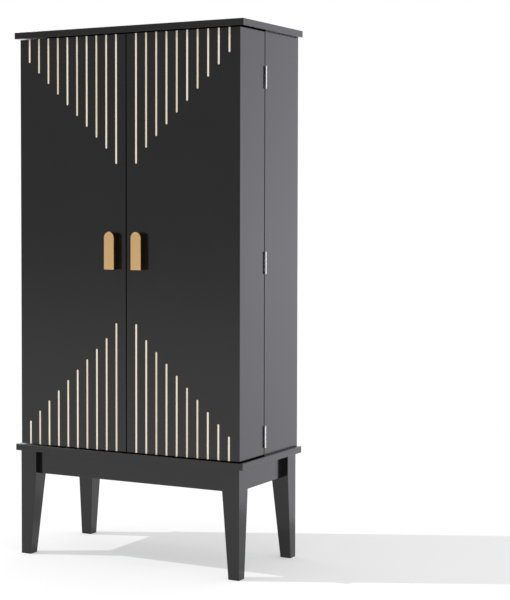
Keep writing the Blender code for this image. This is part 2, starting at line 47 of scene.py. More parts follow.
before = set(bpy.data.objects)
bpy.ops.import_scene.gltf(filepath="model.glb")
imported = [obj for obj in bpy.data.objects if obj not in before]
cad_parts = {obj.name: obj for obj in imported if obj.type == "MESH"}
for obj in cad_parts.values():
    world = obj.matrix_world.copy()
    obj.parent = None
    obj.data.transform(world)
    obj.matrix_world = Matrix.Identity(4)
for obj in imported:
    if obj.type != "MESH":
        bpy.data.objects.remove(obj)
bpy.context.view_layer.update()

SIDES = {"left": -1, "right": 1}
ENDS = ("front", "rear")
HINGE_LEVELS = ("lower", "middle", "upper")
RAIL_LEVELS = ("bottom", "lower", "upper")
BODY_SHELVES = ("lower_shelf", "middle_shelf", "upper_shelf")
WHITE = (1.0, 1.0, 1.0, 1.0)

# Where a hinge leaf's screws are, as shares of its length
LEAF_SCREWS = (0.16, 0.5, 0.84)

# The roughness of a handle's sides, as a share of its brushed front's
HANDLE_POLISH = 0.33

# Mesh tolerances and how finely round forms are divided
MERGE_DISTANCE = 1e-6
SHARP_ANGLE = math.radians(35)
ARRIS_SEGMENTS = 3
ROD_SEGMENTS = 40
GROOVE_ARC_STEPS = 20
COLLAR_STEPS = 40
BEAD_STEPS = 16
SCREW_SEGMENTS = 24

# How much the large flat faces of a piece count in the shading of its edges, in per cent
FLAT_WEIGHT = 100

# How far a piece runs into its neighbour where the joint is closed
JOINT_DEPTH = 0.002

# The photograph's frame, and the camera that fits it
PHOTO_WIDTH = 510
PHOTO_HEIGHT = 600
CAMERA_PLACE = (2.4956, -4.2694, 1.0865)
CAMERA_TURN = (math.radians(87.733), 0.0, math.radians(29.8235))
FOCUS_PIXELS = 1590.92
AXIS_PIXEL = (170.26, 270.72)
SENSOR_WIDTH = 36.0


def linear(code):
    """A six-figure sRGB colour as linear red, green and blue."""
    parts = [int(code[i : i + 2], 16) / 255 for i in (0, 2, 4)]
    return tuple(c / 12.92 if c <= 0.04045 else ((c + 0.055) / 1.055) ** 2.4 for c in parts)


def length(name, description, default):
    """A length that a user may change, in metres."""
    return FloatProperty(name=name, description=description, default=default, unit="LENGTH", precision=5)


def colour(name, description, code):
    """A colour that a user may change, written as sRGB hex."""
    return FloatVectorProperty(
        name=name, description=description, default=linear(code), subtype="COLOR", size=3, min=0.0, max=1.0
    )


class CabinetSizes(bpy.types.PropertyGroup):
    """Sizes of the finished pieces, beyond what the frame gives."""

    board_arris: length("Board arris", "Radius of the eased edges of lacquered boards", 0.0010)
    door_arris: length("Door arris", "Radius of a door box's painted edges", 0.0012)
    back_arris: length("Back arris", "Radius of the back panel's edges", 0.0005)
    leg_foot: length("Leg foot", "Width of a leg at the floor", 0.035)
    groove_count: IntProperty(name="Grooves", description="Grooves in each fan of a door", default=10, min=1)
    groove_pitch: length("Groove pitch", "Distance from groove to groove", 0.035)
    groove_width: length("Groove width", "Width of a groove", 0.006)
    groove_depth: length("Groove depth", "Depth of a groove", 0.003)
    groove_shortest: length("Shortest groove", "Length of the outermost groove", 0.0725)
    groove_step: length("Groove step", "Growth from one groove to the next", 0.03375)
    groove_last_step: length("Last step", "Growth at the groove by the meeting edge", 0.047)
    inlay_recess: length("Inlay recess", "How far a strip lies below the lacquer", 0.00015)
    inlay_play: length("Inlay play", "Gap on each side of a strip", 0.00005)
    inlay_setback: length("Inlay setback", "How far a strip stops short of the door's edge", 0.0006)
    handle_edge: length("Handle edge", "Radius of a handle's front edge", 0.0014)
    collar_radius: length("Collar radius", "Middle radius of a rail's collar", 0.0052)
    collar_bead: length("Collar bead", "Radius of the bead of a rail's collar", 0.0016)
    leaf_width: length("Leaf width", "Width of a hinge leaf", 0.016)
    leaf_thickness: length("Leaf thickness", "Thickness of a hinge leaf", 0.0013)
    leaf_gap: length("Leaf gap", "Gap between the two leaves of a closed hinge", 0.0003)
    leaf_corner: length("Leaf corner", "Corner radius of a hinge leaf", 0.003)
    knuckle_diameter: length("Knuckle diameter", "Outside diameter of a hinge's knuckles", 0.006)
    knuckle_bore: length("Knuckle bore", "Inside diameter of a hinge's knuckles", 0.0033)
    knuckle_gap: length("Knuckle gap", "Gap between a hinge's knuckles", 0.0003)
    knuckle_count: IntProperty(name="Knuckles", description="Knuckles of a hinge", default=5, min=3)
    pin_diameter: length("Pin diameter", "Diameter of a hinge pin", 0.003)
    hinge_screw: length("Hinge screw", "Head diameter of a hinge's screws", 0.0056)
    hinge_screw_margin: length("Hinge screw margin", "From a leaf's inner edge to its screws", 0.0067)
    countersink_play: length("Countersink play", "Gap around a screw's head in its countersink", 0.0003)
    countersink_sink: length("Countersink sink", "How far a screw's head lies below a leaf's face", 0.0002)
    back_screw: length("Back screw", "Head diameter of the back panel's screws", 0.0066)
    handle_screw: length("Handle screw", "Head diameter of the handles' screws, inside the doors", 0.0084)


class CabinetColours(bpy.types.PropertyGroup):
    """Colours of the finishes."""

    lacquer: colour("Lacquer", "Black lacquer", "0d0d0e")
    lacquer_thin: colour("Thin lacquer", "Lacquer where the film is thinner", "101011")
    hardboard: colour("Hardboard", "Dark face of the back panel", "1f1e1e")
    inlay: colour("Inlay", "Early wood of the pale strips", "ebdfcc")
    inlay_late: colour("Inlay, late wood", "Darker grain lines of the pale strips", "d6c4aa")
    brass: colour("Brass", "Satin brass", "edc48e")
    # Painted shade: this darker brass is mixed into the hollows of the brushing's bump
    brass_painted_shade: colour("Brass, darker", "Brass in the hollows of the brushing", "e4ba84")
    steel: colour("Steel", "Bright nickel plate on steel", "f0f0f1")
    # Painted shade: this darker nickel is mixed into the hollows of the rolling's bump
    steel_painted_shade: colour("Steel, darker", "Nickel plate in the hollows of the rolling", "dededf")
    zinc: colour("Zinc", "Bright zinc plate on screws", "b9bdc3")
    # Painted shade: this darker zinc is mixed into the hollows of the screws' fine bump
    zinc_painted_shade: colour("Zinc, darker", "Zinc plate where it is duller", "9a9ea5")
    plastic: colour("Plastic", "Black moulded plastic", "1c1c1e")
    plastic_pale: colour("Plastic, paler", "Moulded plastic where the grain is rubbed", "262629")
    floor: colour("Floor", "Pale studio floor", "f8f8fa")


def socket_of(sockets, key):
    """The socket at a place in the list, or the one in use that has the name."""
    if isinstance(key, int):
        return sockets[key]
    return next(s for s in sockets if s.name == key and not s.is_unavailable)


def feed(tree, node, feeds):
    """Feeds a node's inputs, by name or in order, with values, sockets or other nodes' first outputs."""
    for key, value in feeds.items() if isinstance(feeds, dict) else enumerate(feeds):
        if isinstance(value, bpy.types.Node):
            value = next(s for s in value.outputs if not s.is_unavailable)
        if isinstance(value, bpy.types.NodeSocket):
            tree.links.new(value, socket_of(node.inputs, key))
        else:
            socket_of(node.inputs, key).default_value = value


def add(tree, kind, feeds=(), **settings):
    """Adds a node with its settings and feeds its inputs."""
    node = tree.nodes.new(kind)
    for name, value in settings.items():
        setattr(node, name, value)
    feed(tree, node, feeds)
    return node


def new_material(name):
    """A node material with its tree, its Principled shader and Object coordinates."""
    material = bpy.data.materials.new(name)
    material.use_nodes = True
    tree = material.node_tree
    return material, tree, tree.nodes["Principled BSDF"], add(tree, "ShaderNodeTexCoord").outputs["Object"]


def per_feature(millimetres):
    """The texture scale at which a feature is about this many millimetres long."""
    return 1000.0 / millimetres


def rgba(rgb):
    """A colour with full opacity."""
    return (*rgb, 1.0)


def surface(tree, shader, tone, gloss, bump, **sockets):
    """Feeds a shader with what patterns make: a tone, a gloss and a bump. Returns the gloss.

    Each is given as its pattern and two values: the two colours, the least and greatest roughness, and the
    bump's strength and height.
    """
    pattern, first, second = tone
    mixed = add(
        tree, "ShaderNodeMix", {"Factor": pattern, "A": rgba(first), "B": rgba(second)}, data_type="RGBA"
    )
    pattern, smooth, rough = gloss
    spread = add(tree, "ShaderNodeMapRange", {"Value": pattern, "To Min": smooth, "To Max": rough})
    pattern, strength, height = bump
    raised = add(tree, "ShaderNodeBump", {"Height": pattern, "Strength": strength, "Distance": height})
    feed(tree, shader, {"Base Color": mixed, "Roughness": spread, "Normal": raised, **sockets})
    return spread


def lacquer_on_board(colours):
    """Sprayed semi-gloss lacquer: near black, soft mirror images, faint orange peel and cloudy gloss."""
    material, tree, shader, place = new_material("black_lacquer_sprayed_on_board")
    cloud = add(tree, "ShaderNodeTexNoise", {"Vector": place, "Scale": per_feature(120), "Detail": 3.0})
    peel = add(tree, "ShaderNodeTexNoise", {"Vector": place, "Scale": per_feature(3), "Detail": 2.0})
    tone = (cloud, colours.lacquer, colours.lacquer_thin)
    surface(tree, shader, tone, gloss=(cloud, 0.13, 0.18), bump=(peel, 0.05, 0.0002), IOR=1.5)
    return material


def faced_hardboard(colours):
    """Black-faced hardboard: dull, with a fine pressed fibre that breaks up any reflection."""
    material, tree, shader, place = new_material("black_faced_hardboard")
    fibre = add(tree, "ShaderNodeTexNoise", {"Vector": place, "Scale": per_feature(1.6), "Detail": 4.0})
    tone = (fibre, colours.lacquer, colours.hardboard)
    surface(tree, shader, tone, gloss=(fibre, 0.42, 0.62), bump=(fibre, 0.15, 0.0002), IOR=1.5)
    return material


def maple_strip(colours):
    """Pale maple under satin varnish: cream, with fine upright grain lines and a tone of each strip's own."""
    own_share = 0.25
    early_wood = 0.3
    late_wood = 0.9
    material, tree, shader, place = new_material("maple_strip_satin_varnished")
    stretch = (per_feature(0.9), per_feature(0.9), per_feature(55))
    stretched = add(tree, "ShaderNodeMapping", {"Vector": place, "Scale": stretch})
    grain = add(tree, "ShaderNodeTexNoise", {"Vector": stretched, "Scale": 1.0, "Detail": 3.0})
    own = add(tree, "ShaderNodeAttribute", attribute_name="tone").outputs["Fac"]
    mixed = add(tree, "ShaderNodeMath", [own, own_share, grain], operation="MULTIPLY_ADD")
    share = add(tree, "ShaderNodeMapRange", [mixed, early_wood, late_wood])
    tone = (share, colours.inlay, colours.inlay_late)
    surface(tree, shader, tone, gloss=(grain, 0.40, 0.52), bump=(grain, 0.15, 0.0001), IOR=1.48)
    return material


def brushed_metal(name, stretch, light, dark, smooth, rough, polished=None):
    """Metal with fine drawn lines: warm or cold mirror tone, drawn out across the lines, and a darker tone in
    their hollows that is painted shade.

    The stretch is a line's size along each axis in millimetres, a few times coarser than real brushing so
    that it shows, and the roughness is between smooth and rough. Where polished is given, as a front's
    place in Y, its edge radius and a share of the roughness, the sides behind that front are polished to
    the share.
    """
    material, tree, shader, place = new_material(name)
    stretched = add(tree, "ShaderNodeMapping", {"Vector": place, "Scale": tuple(map(per_feature, stretch))})
    lines = add(tree, "ShaderNodeTexNoise", {"Vector": stretched, "Scale": 1.0, "Detail": 3.0})
    bump = (lines, 0.04, 0.0001)
    # Painted shade: the dark tone is mixed in where the lines' bump is low, in their hollows
    gloss = surface(tree, shader, (lines, dark, light), (lines, smooth, rough), bump, Metallic=1.0)
    if polished:
        front, edge, least = polished
        depth = add(tree, "ShaderNodeSeparateXYZ", [place]).outputs["Y"]
        share = add(tree, "ShaderNodeMapRange", [depth, front, front + edge, 1.0, least])
        feed(tree, shader, {"Roughness": add(tree, "ShaderNodeMath", [gloss, share], operation="MULTIPLY")})
    return material


def moulded_plastic(colours):
    """Black ABS from a spark-eroded mould: matt, with an even grain, drawn coarser than real so it shows."""
    material, tree, shader, place = new_material("black_abs_moulded")
    spark = add(tree, "ShaderNodeTexNoise", {"Vector": place, "Scale": per_feature(0.7), "Detail": 2.0})
    tone = (spark, colours.plastic, colours.plastic_pale)
    surface(tree, shader, tone, gloss=(spark, 0.45, 0.60), bump=(spark, 0.2, 0.0002), IOR=1.54)
    return material


def finishes(scene):
    """The finishes by the names of their uses, made once."""
    if not finishes.made:
        colours = scene.cabinet_colours
        # Each metal is a plain tone and a darker one that is painted shade in the hollows of its bump
        brass = (colours.brass, colours.brass_painted_shade)
        steel = (colours.steel, colours.steel_painted_shade)
        zinc = (colours.zinc, colours.zinc_painted_shade)
        polished = (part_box("left_handle")[0].y, scene.cabinet_sizes.handle_edge, HANDLE_POLISH)
        finishes.made.update(
            lacquer=lacquer_on_board(colours),
            hardboard=faced_hardboard(colours),
            inlay=maple_strip(colours),
            handle=brushed_metal("brass_brushed_upright", (0.5, 0.5, 40), *brass, 0.24, 0.34, polished),
            rail=brushed_metal("brass_drawn_rod", (40, 0.6, 0.6), *brass, 0.16, 0.26),
            steel=brushed_metal("nickel_plated_rolled_steel", (0.7, 0.7, 18), *steel, 0.34, 0.44),
            screw=brushed_metal("zinc_plated_screw_steel", (0.8, 0.8, 0.8), *zinc, 0.30, 0.45),
            plastic=moulded_plastic(colours),
        )
    return finishes.made


finishes.made = {}


def block(bm, low, high):
    """Adds a box between its lowest and highest corners."""
    low, high = Vector(low), Vector(high)
    shape = Matrix.Translation((low + high) / 2) @ Matrix.Diagonal((*(high - low), 1.0))
    bmesh.ops.create_cube(bm, size=1.0, matrix=shape)


def prism(bm, outline, travel):
    """Adds a flat outline of 3-D points drawn along the travel vector."""
    face = bm.faces.new([bm.verts.new(point) for point in outline])
    drawn = bmesh.ops.extrude_face_region(bm, geom=[face])["geom"]
    ends = [item for item in drawn if isinstance(item, bmesh.types.BMVert)]
    bmesh.ops.translate(bm, verts=ends, vec=travel)


def rod(bm, radius, start, end, end_radius=None):
    """Adds a capped cylinder between two points, or a cone if the radius differs at the end."""
    start, end = Vector(start), Vector(end)
    turn = (end - start).to_track_quat("Z", "Y").to_matrix().to_4x4()
    bmesh.ops.create_cone(
        bm,
        cap_ends=True,
        segments=ROD_SEGMENTS,
        radius1=radius,
        radius2=radius if end_radius is None else end_radius,
        depth=(end - start).length,
        matrix=Matrix.Translation((start + end) / 2) @ turn,
    )


def turned(bm, profile, place):
    """Adds a piece turned on the upright axis through a place, from (radius, height) points.

    The profile starts and ends on the axis, or else it is a closed loop around a bore.
    """
    turns = [math.tau * i / ROD_SEGMENTS for i in range(ROD_SEGMENTS)]
    rings = []
    for radius, height in profile:
        around = turns if radius else turns[:1]
        points = [Vector((radius * math.cos(t), radius * math.sin(t), height)) for t in around]
        rings.append([bm.verts.new(place + point) for point in points])
    bored = profile[0][0] > 0
    following = rings[1:] + rings[:1] if bored else rings[1:]
    for ring, after in zip(rings, following):
        for i in range(ROD_SEGMENTS):
            j = (i + 1) % ROD_SEGMENTS
            corners = (ring[i % len(ring)], ring[j % len(ring)], after[j % len(after)], after[i % len(after)])
            bm.faces.new(list(dict.fromkeys(corners)))


def arc(centre, radius, start, sweep, steps):
    """Points of an arc in a plane, angles in radians."""
    turns = [start + sweep * i / steps for i in range(steps + 1)]
    return [(centre[0] + radius * math.cos(t), centre[1] + radius * math.sin(t)) for t in turns]


def round_edges(bm, radius, wanted=None, segments=ARRIS_SEGMENTS):
    """Rounds the sharp outward edges of a mesh, or those of them that are wanted."""
    bmesh.ops.recalc_face_normals(bm, faces=bm.faces)
    edges = [e for e in bm.edges if e.is_manifold and e.is_convex and e.calc_face_angle() > SHARP_ANGLE]
    bmesh.ops.bevel(
        bm,
        geom=[e for e in edges if wanted is None or wanted(e)],
        offset=radius,
        offset_type="OFFSET",
        segments=segments,
        profile=0.5,
        affect="EDGES",
        clamp_overlap=True,
    )


def eased_box(low, high, radius, wanted=None):
    """A box between two corners with its edges rounded, or those that are wanted."""
    bm = bmesh.new()
    block(bm, low, high)
    round_edges(bm, radius, wanted)
    return bm


def new_object(name, bm, material=None):
    """An object at the origin with its place in its mesh."""
    bmesh.ops.remove_doubles(bm, verts=bm.verts, dist=MERGE_DISTANCE)
    bmesh.ops.recalc_face_normals(bm, faces=bm.faces)
    mesh = bpy.data.meshes.new(name)
    bm.to_mesh(mesh)
    bm.free()
    if material:
        mesh.materials.append(material)
    obj = bpy.data.objects.new(name, mesh)
    bpy.context.scene.collection.objects.link(obj)
    return obj


def make_plain(obj):
    """Turns what an object's modifiers give into its own mesh."""
    graph = bpy.context.evaluated_depsgraph_get()
    shown = obj.evaluated_get(graph)
    made = bpy.data.meshes.new_from_object(shown, preserve_all_data_layers=True, depsgraph=graph)
    made.name = obj.name
    obj.modifiers.clear()
    obj.data = made
    if not made.polygons:
        raise RuntimeError(f"{obj.name} came out empty")


def combine(obj, bm, operation):
    """Cuts a shape out of an object, or joins it on."""
    tool = new_object(f"{obj.name}_tool", bm)
    modifier = obj.modifiers.new(operation.lower(), "BOOLEAN")
    modifier.object = tool
    modifier.operation = operation
    make_plain(obj)
    bpy.data.objects.remove(tool)


def finish_piece(obj, body, nodes=(), crease=None):
    """Shades a piece, flat faces flat and rounded edges round, and fixes it to its body.

    An edge is also kept sharp where the crease test holds for both its ends.
    """
    mesh = obj.data
    mesh.shade_smooth()
    mesh.set_sharp_from_angle(angle=SHARP_ANGLE)
    if crease:
        for edge in mesh.edges:
            if all(crease(mesh.vertices[i].co) for i in edge.vertices):
                edge.use_edge_sharp = True
    normals = obj.modifiers.new("normals", "WEIGHTED_NORMAL")
    normals.keep_sharp = True
    normals.weight = FLAT_WEIGHT
    make_plain(obj)
    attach(obj, body)
    if nodes:
        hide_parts(*nodes)


def lacquered(node, bm, material, body="cabinet", crease=None):
    """A lacquered piece in the place of a node."""
    finish_piece(new_object(f"{node}_lacquered", bm, material), body, [node], crease)


def outer_of(low, high, sign):
    """The outer and the inner one of two places, for a side."""
    return (high, low) if sign > 0 else (low, high)


class CABINET_OT_stage(bpy.types.Operator):
    """Sets up the floor, the studio light and the camera"""

    bl_idname = "cabinet.stage"
    bl_label = "Stage"

    # The floor, lifted towards white, fades into the backdrop between two distances from the cabinet
    FLOOR_REACH = 40.0
    FLOOR_LIFT = 0.39
    FADE = (1.6, 3.4)

    # Past both of these soft edges, behind the shadow and along it, gloss shows the backdrop and no floor
    SHADOW_SIDE = (-0.4463, 0.8949, 0.0)
    SHADOW_EDGE = (0.25, 0.45)
    SHADOW_WAY = (0.895, 0.447, 0.0)
    SHADOW_END = (0.55, 0.95)

    # Even light from all round, and one lamp
    SKY_STRENGTH = 0.85
    SUN_STRENGTH = 1.63
    SUN_WIDTH = math.radians(0.8)
    SUN_TRAVEL = (0.599, 0.299, -0.743)

    # The studio that gloss shows: a bright side with a brighter band, a dim front and a dark patch in it
    BRIGHT_SIDE = (0.497, 0.868, 0.0)
    BRIGHT_EDGE = (-0.3, 0.9)
    BRIGHT_BAND = (1.71, 1.69, 1.83)
    BRIGHT_REST = (1.39, 1.37, 1.47)
    BAND_RISE = -0.03
    BAND_REACH = 0.15
    DIM_ABOVE = 0.50
    DIM_BELOW = 1.0
    DIM_EDGE = (-0.095, -0.030)
    DARK_SIDE = (0.470, -0.780, 0.420)
    DARK_EDGE = (0.82, 0.895)
    DARK_SHARE = 0.1

    def execute(self, context):
        scene = context.scene
        scene.view_settings.view_transform = "Standard"
        self.floor(scene)
        self.surroundings(scene)
        self.sun(scene)
        self.camera(scene)
        return {"FINISHED"}

    def floor(self, scene):
        """A pale floor that takes the shadow and fades into the white backdrop."""
        bm = bmesh.new()
        bmesh.ops.create_grid(bm, x_segments=1, y_segments=1, size=self.FLOOR_REACH)
        material, tree, shader, place = new_material("pale_studio_floor")
        path = add(tree, "ShaderNodeLightPath").outputs
        distance = add(tree, "ShaderNodeVectorMath", [place], operation="LENGTH").outputs["Value"]
        fade = add(tree, "ShaderNodeMapRange", [distance, *self.FADE], interpolation_type="SMOOTHSTEP")
        lit = path["Is Glossy Ray"]
        for way, edge in ((self.SHADOW_SIDE, self.SHADOW_EDGE), (self.SHADOW_WAY, self.SHADOW_END)):
            reach = add(tree, "ShaderNodeVectorMath", [place, way], operation="DOT_PRODUCT").outputs["Value"]
            lit = add(tree, "ShaderNodeMapRange", [reach, *edge, 0.0, lit], interpolation_type="SMOOTHSTEP")
        gone = add(tree, "ShaderNodeMath", [fade, lit], operation="MAXIMUM")
        mottle = add(tree, "ShaderNodeTexNoise", {"Vector": place, "Scale": per_feature(40), "Detail": 2.0})
        gloss = add(tree, "ShaderNodeMapRange", {"Value": mottle, "To Min": 0.55, "To Max": 0.65})
        tone = rgba(scene.cabinet_colours.floor)
        feed(tree, shader, {"Base Color": tone, "Roughness": gloss, "Specular IOR Level": 0.0})
        seen = path["Is Camera Ray"]
        for other in ("Is Glossy Ray", "Is Transmission Ray"):
            seen = add(tree, "ShaderNodeMath", [seen, path[other]], operation="MAXIMUM")
        lift = add(tree, "ShaderNodeMath", [seen, self.FLOOR_LIFT], operation="MULTIPLY")
        white = add(tree, "ShaderNodeEmission", {"Color": WHITE, "Strength": 1.0})
        lifted = add(tree, "ShaderNodeMixShader", [lift, shader, white])
        clear = add(tree, "ShaderNodeBsdfTransparent")
        both = add(tree, "ShaderNodeMixShader", [gone, lifted, clear])
        feed(tree, tree.nodes["Material Output"], {"Surface": both})
        new_object("studio_floor", bm, material)

    def surroundings(self, scene):
        """White behind the object, even light on it, and a studio for gloss: dim in front, bright behind."""
        world = bpy.data.worlds.new("studio")
        world.use_nodes = True
        scene.world = world
        tree = world.node_tree
        light = tree.nodes["Background"]
        feed(tree, light, {"Color": WHITE, "Strength": self.SKY_STRENGTH})
        way = add(tree, "ShaderNodeTexCoord").outputs["Generated"]
        rise = add(tree, "ShaderNodeSeparateXYZ", [way]).outputs["Z"]
        facing, toward = (
            add(tree, "ShaderNodeVectorMath", [way, side], operation="DOT_PRODUCT").outputs["Value"]
            for side in (self.BRIGHT_SIDE, self.DARK_SIDE)
        )
        share, dim, dark = (
            add(tree, "ShaderNodeMapRange", values, interpolation_type="SMOOTHSTEP")
            for values in (
                [facing, *self.BRIGHT_EDGE],
                [rise, *self.DIM_EDGE, self.DIM_BELOW, self.DIM_ABOVE],
                [toward, *self.DARK_EDGE, 1.0, self.DARK_SHARE],
            )
        )
        front = add(tree, "ShaderNodeMath", [dim, dark], operation="MULTIPLY")
        lift = add(tree, "ShaderNodeMath", [rise, self.BAND_RISE], operation="SUBTRACT")
        away = add(tree, "ShaderNodeMath", [lift], operation="ABSOLUTE")
        climb = add(tree, "ShaderNodeMapRange", {"Value": away, "From Max": self.BAND_REACH})
        band = {"Factor": climb, "A": rgba(self.BRIGHT_BAND), "B": rgba(self.BRIGHT_REST)}
        bright = add(tree, "ShaderNodeMix", band, data_type="RGBA")
        glow = add(tree, "ShaderNodeMix", {"Factor": share, "A": front, "B": bright}, data_type="RGBA")
        path = add(tree, "ShaderNodeLightPath").outputs
        studio = add(tree, "ShaderNodeBackground", {"Color": glow, "Strength": 1.0})
        gloss = add(tree, "ShaderNodeMixShader", [path["Is Glossy Ray"], light, studio])
        rays = [path["Is Camera Ray"], path["Is Transmission Ray"]]
        seen = add(tree, "ShaderNodeMath", rays, operation="MAXIMUM")
        white = add(tree, "ShaderNodeBackground", {"Color": WHITE, "Strength": 1.0})
        all_rays = add(tree, "ShaderNodeMixShader", [seen, gloss, white])
        feed(tree, tree.nodes["World Output"], {"Surface": all_rays})

    def sun(self, scene):
        """One distant lamp from the front left, for the crisp shadow on the floor."""
        lamp = bpy.data.lights.new("studio_lamp", "SUN")
        lamp.energy = self.SUN_STRENGTH
        lamp.angle = self.SUN_WIDTH
        obj = bpy.data.objects.new("studio_lamp", lamp)
        obj.rotation_euler = Vector(self.SUN_TRAVEL).to_track_quat("-Z", "Y").to_euler()
        scene.collection.objects.link(obj)

    def camera(self, scene):
        """The camera at the photograph's viewing angle."""
        data = bpy.data.cameras.new("camera")
        data.sensor_width = SENSOR_WIDTH
        data.lens = FOCUS_PIXELS * SENSOR_WIDTH / PHOTO_HEIGHT
        data.shift_x = (PHOTO_WIDTH / 2 - AXIS_PIXEL[0]) / PHOTO_HEIGHT
        data.shift_y = (AXIS_PIXEL[1] - PHOTO_HEIGHT / 2) / PHOTO_HEIGHT
        obj = bpy.data.objects.new("camera", data)
        obj.location = CAMERA_PLACE
        obj.rotation_euler = CAMERA_TURN
        scene.collection.objects.link(obj)
        scene.camera = obj


class CABINET_OT_boards(bpy.types.Operator):
    """Finishes the top and base boards, the body's sides, back and shelves"""

    bl_idname = "cabinet.boards"
    bl_label = "Boards"

    def execute(self, context):
        sizes = context.scene.cabinet_sizes
        made = finishes(context.scene)
        for node in ("top_board", "base_board", *BODY_SHELVES):
            lacquered(node, eased_box(*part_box(node), sizes.board_arris), made["lacquer"])
        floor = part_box("base_board")[1].z
        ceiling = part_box("top_board")[0].z
        for side, sign in SIDES.items():
            self.side_panel(f"{side}_side_panel", sign, floor, ceiling, sizes, made["lacquer"])
        low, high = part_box("back_panel")
        low.z = floor
        high.z = ceiling
        obj = new_object("back_panel_faced", eased_box(low, high, sizes.back_arris), made["hardboard"])
        finish_piece(obj, "cabinet", ["back_panel"])
        return {"FINISHED"}

    def side_panel(self, node, sign, floor, ceiling, sizes, material):
        """A side of the body, rebated at the back and closed against the top and base boards."""
        low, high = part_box(node)
        back_low, back_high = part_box("back_panel")
        outer, inner = outer_of(low.x, high.x, sign)
        rebate = outer_of(back_low.x, back_high.x, sign)[0]
        plan = (
            (outer, low.y),
            (inner, low.y),
            (inner, back_low.y),
            (rebate, back_low.y),
            (rebate, high.y),
            (outer, high.y),
        )
        bm = bmesh.new()
        prism(bm, [(x, y, floor) for x, y in plan], (0, 0, ceiling - floor))
        round_edges(bm, sizes.board_arris)
        lacquered(node, bm, material)


class CABINET_OT_stand(bpy.types.Operator):
    """Finishes the tapered legs and the aprons between them"""

    bl_idname = "cabinet.stand"
    bl_label = "Stand"

    def execute(self, context):
        sizes = context.scene.cabinet_sizes
        lacquer = finishes(context.scene)["lacquer"]
        for side, sign in SIDES.items():
            for end in ENDS:
                self.leg(f"{end}_{side}_leg", sign, end, sizes, lacquer)
        for name in (*ENDS, *SIDES):
            self.apron(f"{name}_apron", name in SIDES, sizes, lacquer)
        return {"FINISHED"}

    def leg(self, node, sign, end, sizes, material):
        """A leg that tapers on its two inner faces from the aprons' lower edge to the floor."""
        low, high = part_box(node)
        outer_x, inner_x = outer_of(low.x, high.x, sign)
        outer_y, inner_y = (low.y, high.y) if end == "front" else (high.y, low.y)
        break_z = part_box("front_apron")[0].z
        ratio = sizes.leg_foot / (high.x - low.x)
        bm = bmesh.new()
        rings = []
        for height, share in ((low.z, ratio), (break_z, 1.0), (high.z, 1.0)):
            across = outer_x + (inner_x - outer_x) * share
            along = outer_y + (inner_y - outer_y) * share
            plan = ((outer_x, outer_y), (across, outer_y), (across, along), (outer_x, along))
            rings.append([bm.verts.new((x, y, height)) for x, y in plan])
        for lower, upper in zip(rings, rings[1:]):
            for i in range(4):
                j = (i + 1) % 4
                bm.faces.new((lower[i], lower[j], upper[j], upper[i]))
        bm.faces.new(rings[0])
        bm.faces.new(rings[-1])
        round_edges(bm, sizes.board_arris)
        lacquered(node, bm, material, crease=lambda place: abs(place.z - break_z) < sizes.board_arris)

    def apron(self, node, across, sizes, material):
        """An apron whose ends run into the legs, eased along its length."""
        low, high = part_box(node)
        along = 1 if across else 0
        low[along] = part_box("front_left_leg")[1][along] - JOINT_DEPTH
        high[along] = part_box("rear_right_leg")[0][along] + JOINT_DEPTH
        reach = high[along] - low[along]
        bm = eased_box(low, high, sizes.board_arris, lambda e: abs(e.calc_length() - reach) < MERGE_DISTANCE)
        lacquered(node, bm, material)


def door_space(side):
    """A door's extent: (meeting, outer) X, (front, back) Y, (low, high) Z, and its panels' thickness."""
    low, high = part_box(f"{side}_door_front")
    outer, meeting = outer_of(low.x, high.x, SIDES[side])
    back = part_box(f"{side}_door_hinge_side")[1].y
    return (meeting, outer), (low.y, back), (low.z, high.z), high.y - low.y


def groove_lengths(sizes):
    """Groove lengths outwards from the meeting edge."""
    count = sizes.groove_count
    reach = [sizes.groove_shortest + sizes.groove_step * (count - 1 - i) for i in range(count)]
    reach[0] += sizes.groove_last_step - sizes.groove_step
    return reach


class CABINET_OT_doors(bpy.types.Operator):
    """Finishes the door boxes, their ends and their shelves"""

    bl_idname = "cabinet.doors"
    bl_label = "Doors"

    CUT_MARGIN = 0.002

    def execute(self, context):
        sizes = context.scene.cabinet_sizes
        lacquer = finishes(context.scene)["lacquer"]
        for side in SIDES:
            self.shell(side, sizes, lacquer)
            for name in ("top", "bottom", "lower_shelf", "upper_shelf"):
                node = f"{side}_door_{name}"
                lacquered(node, eased_box(*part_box(node), sizes.board_arris), lacquer, f"{side}_door")
        return {"FINISHED"}

    def shell(self, side, sizes, material):
        """The front and both sides of a door as one painted channel, with the grooves cut in."""
        (meeting, outer), (front, back), (floor, ceiling), thick = door_space(side)
        wall = SIDES[side] * thick
        plan = (
            (outer, back),
            (outer, front),
            (meeting, front),
            (meeting, back),
            (meeting + wall, back),
            (meeting + wall, front + thick),
            (outer - wall, front + thick),
            (outer - wall, back),
        )
        bm = bmesh.new()
        prism(bm, [(x, y, floor) for x, y in plan], (0, 0, ceiling - floor))
        round_edges(bm, sizes.door_arris)
        obj = new_object(f"{side}_door_shell", bm, material)
        combine(obj, self.grooves(side, sizes), "DIFFERENCE")
        nodes = [f"{side}_door_{name}" for name in ("front", "hinge_side", "meeting_side")]
        finish_piece(obj, f"{side}_door", nodes)

    def grooves(self, side, sizes):
        """The cutter for a door's two fans of round-ended grooves."""
        _, (front, _), (floor, ceiling), _ = door_space(side)
        radius = sizes.groove_width / 2
        start = front - self.CUT_MARGIN
        depth = self.CUT_MARGIN + sizes.groove_depth
        bm = bmesh.new()
        for i, reach in enumerate(groove_lengths(sizes)):
            x = SIDES[side] * sizes.groove_pitch * (i + 1)
            for edge, way in ((floor, 1), (ceiling, -1)):
                tip = arc((x, edge + way * (reach - radius)), radius, 0.0, way * math.pi, GROOVE_ARC_STEPS)
                past = edge - way * self.CUT_MARGIN
                outline = [(x + radius, past), *tip, (x - radius, past)]
                prism(bm, [(px, start, pz) for px, pz in outline], (0, depth, 0))
        return bm


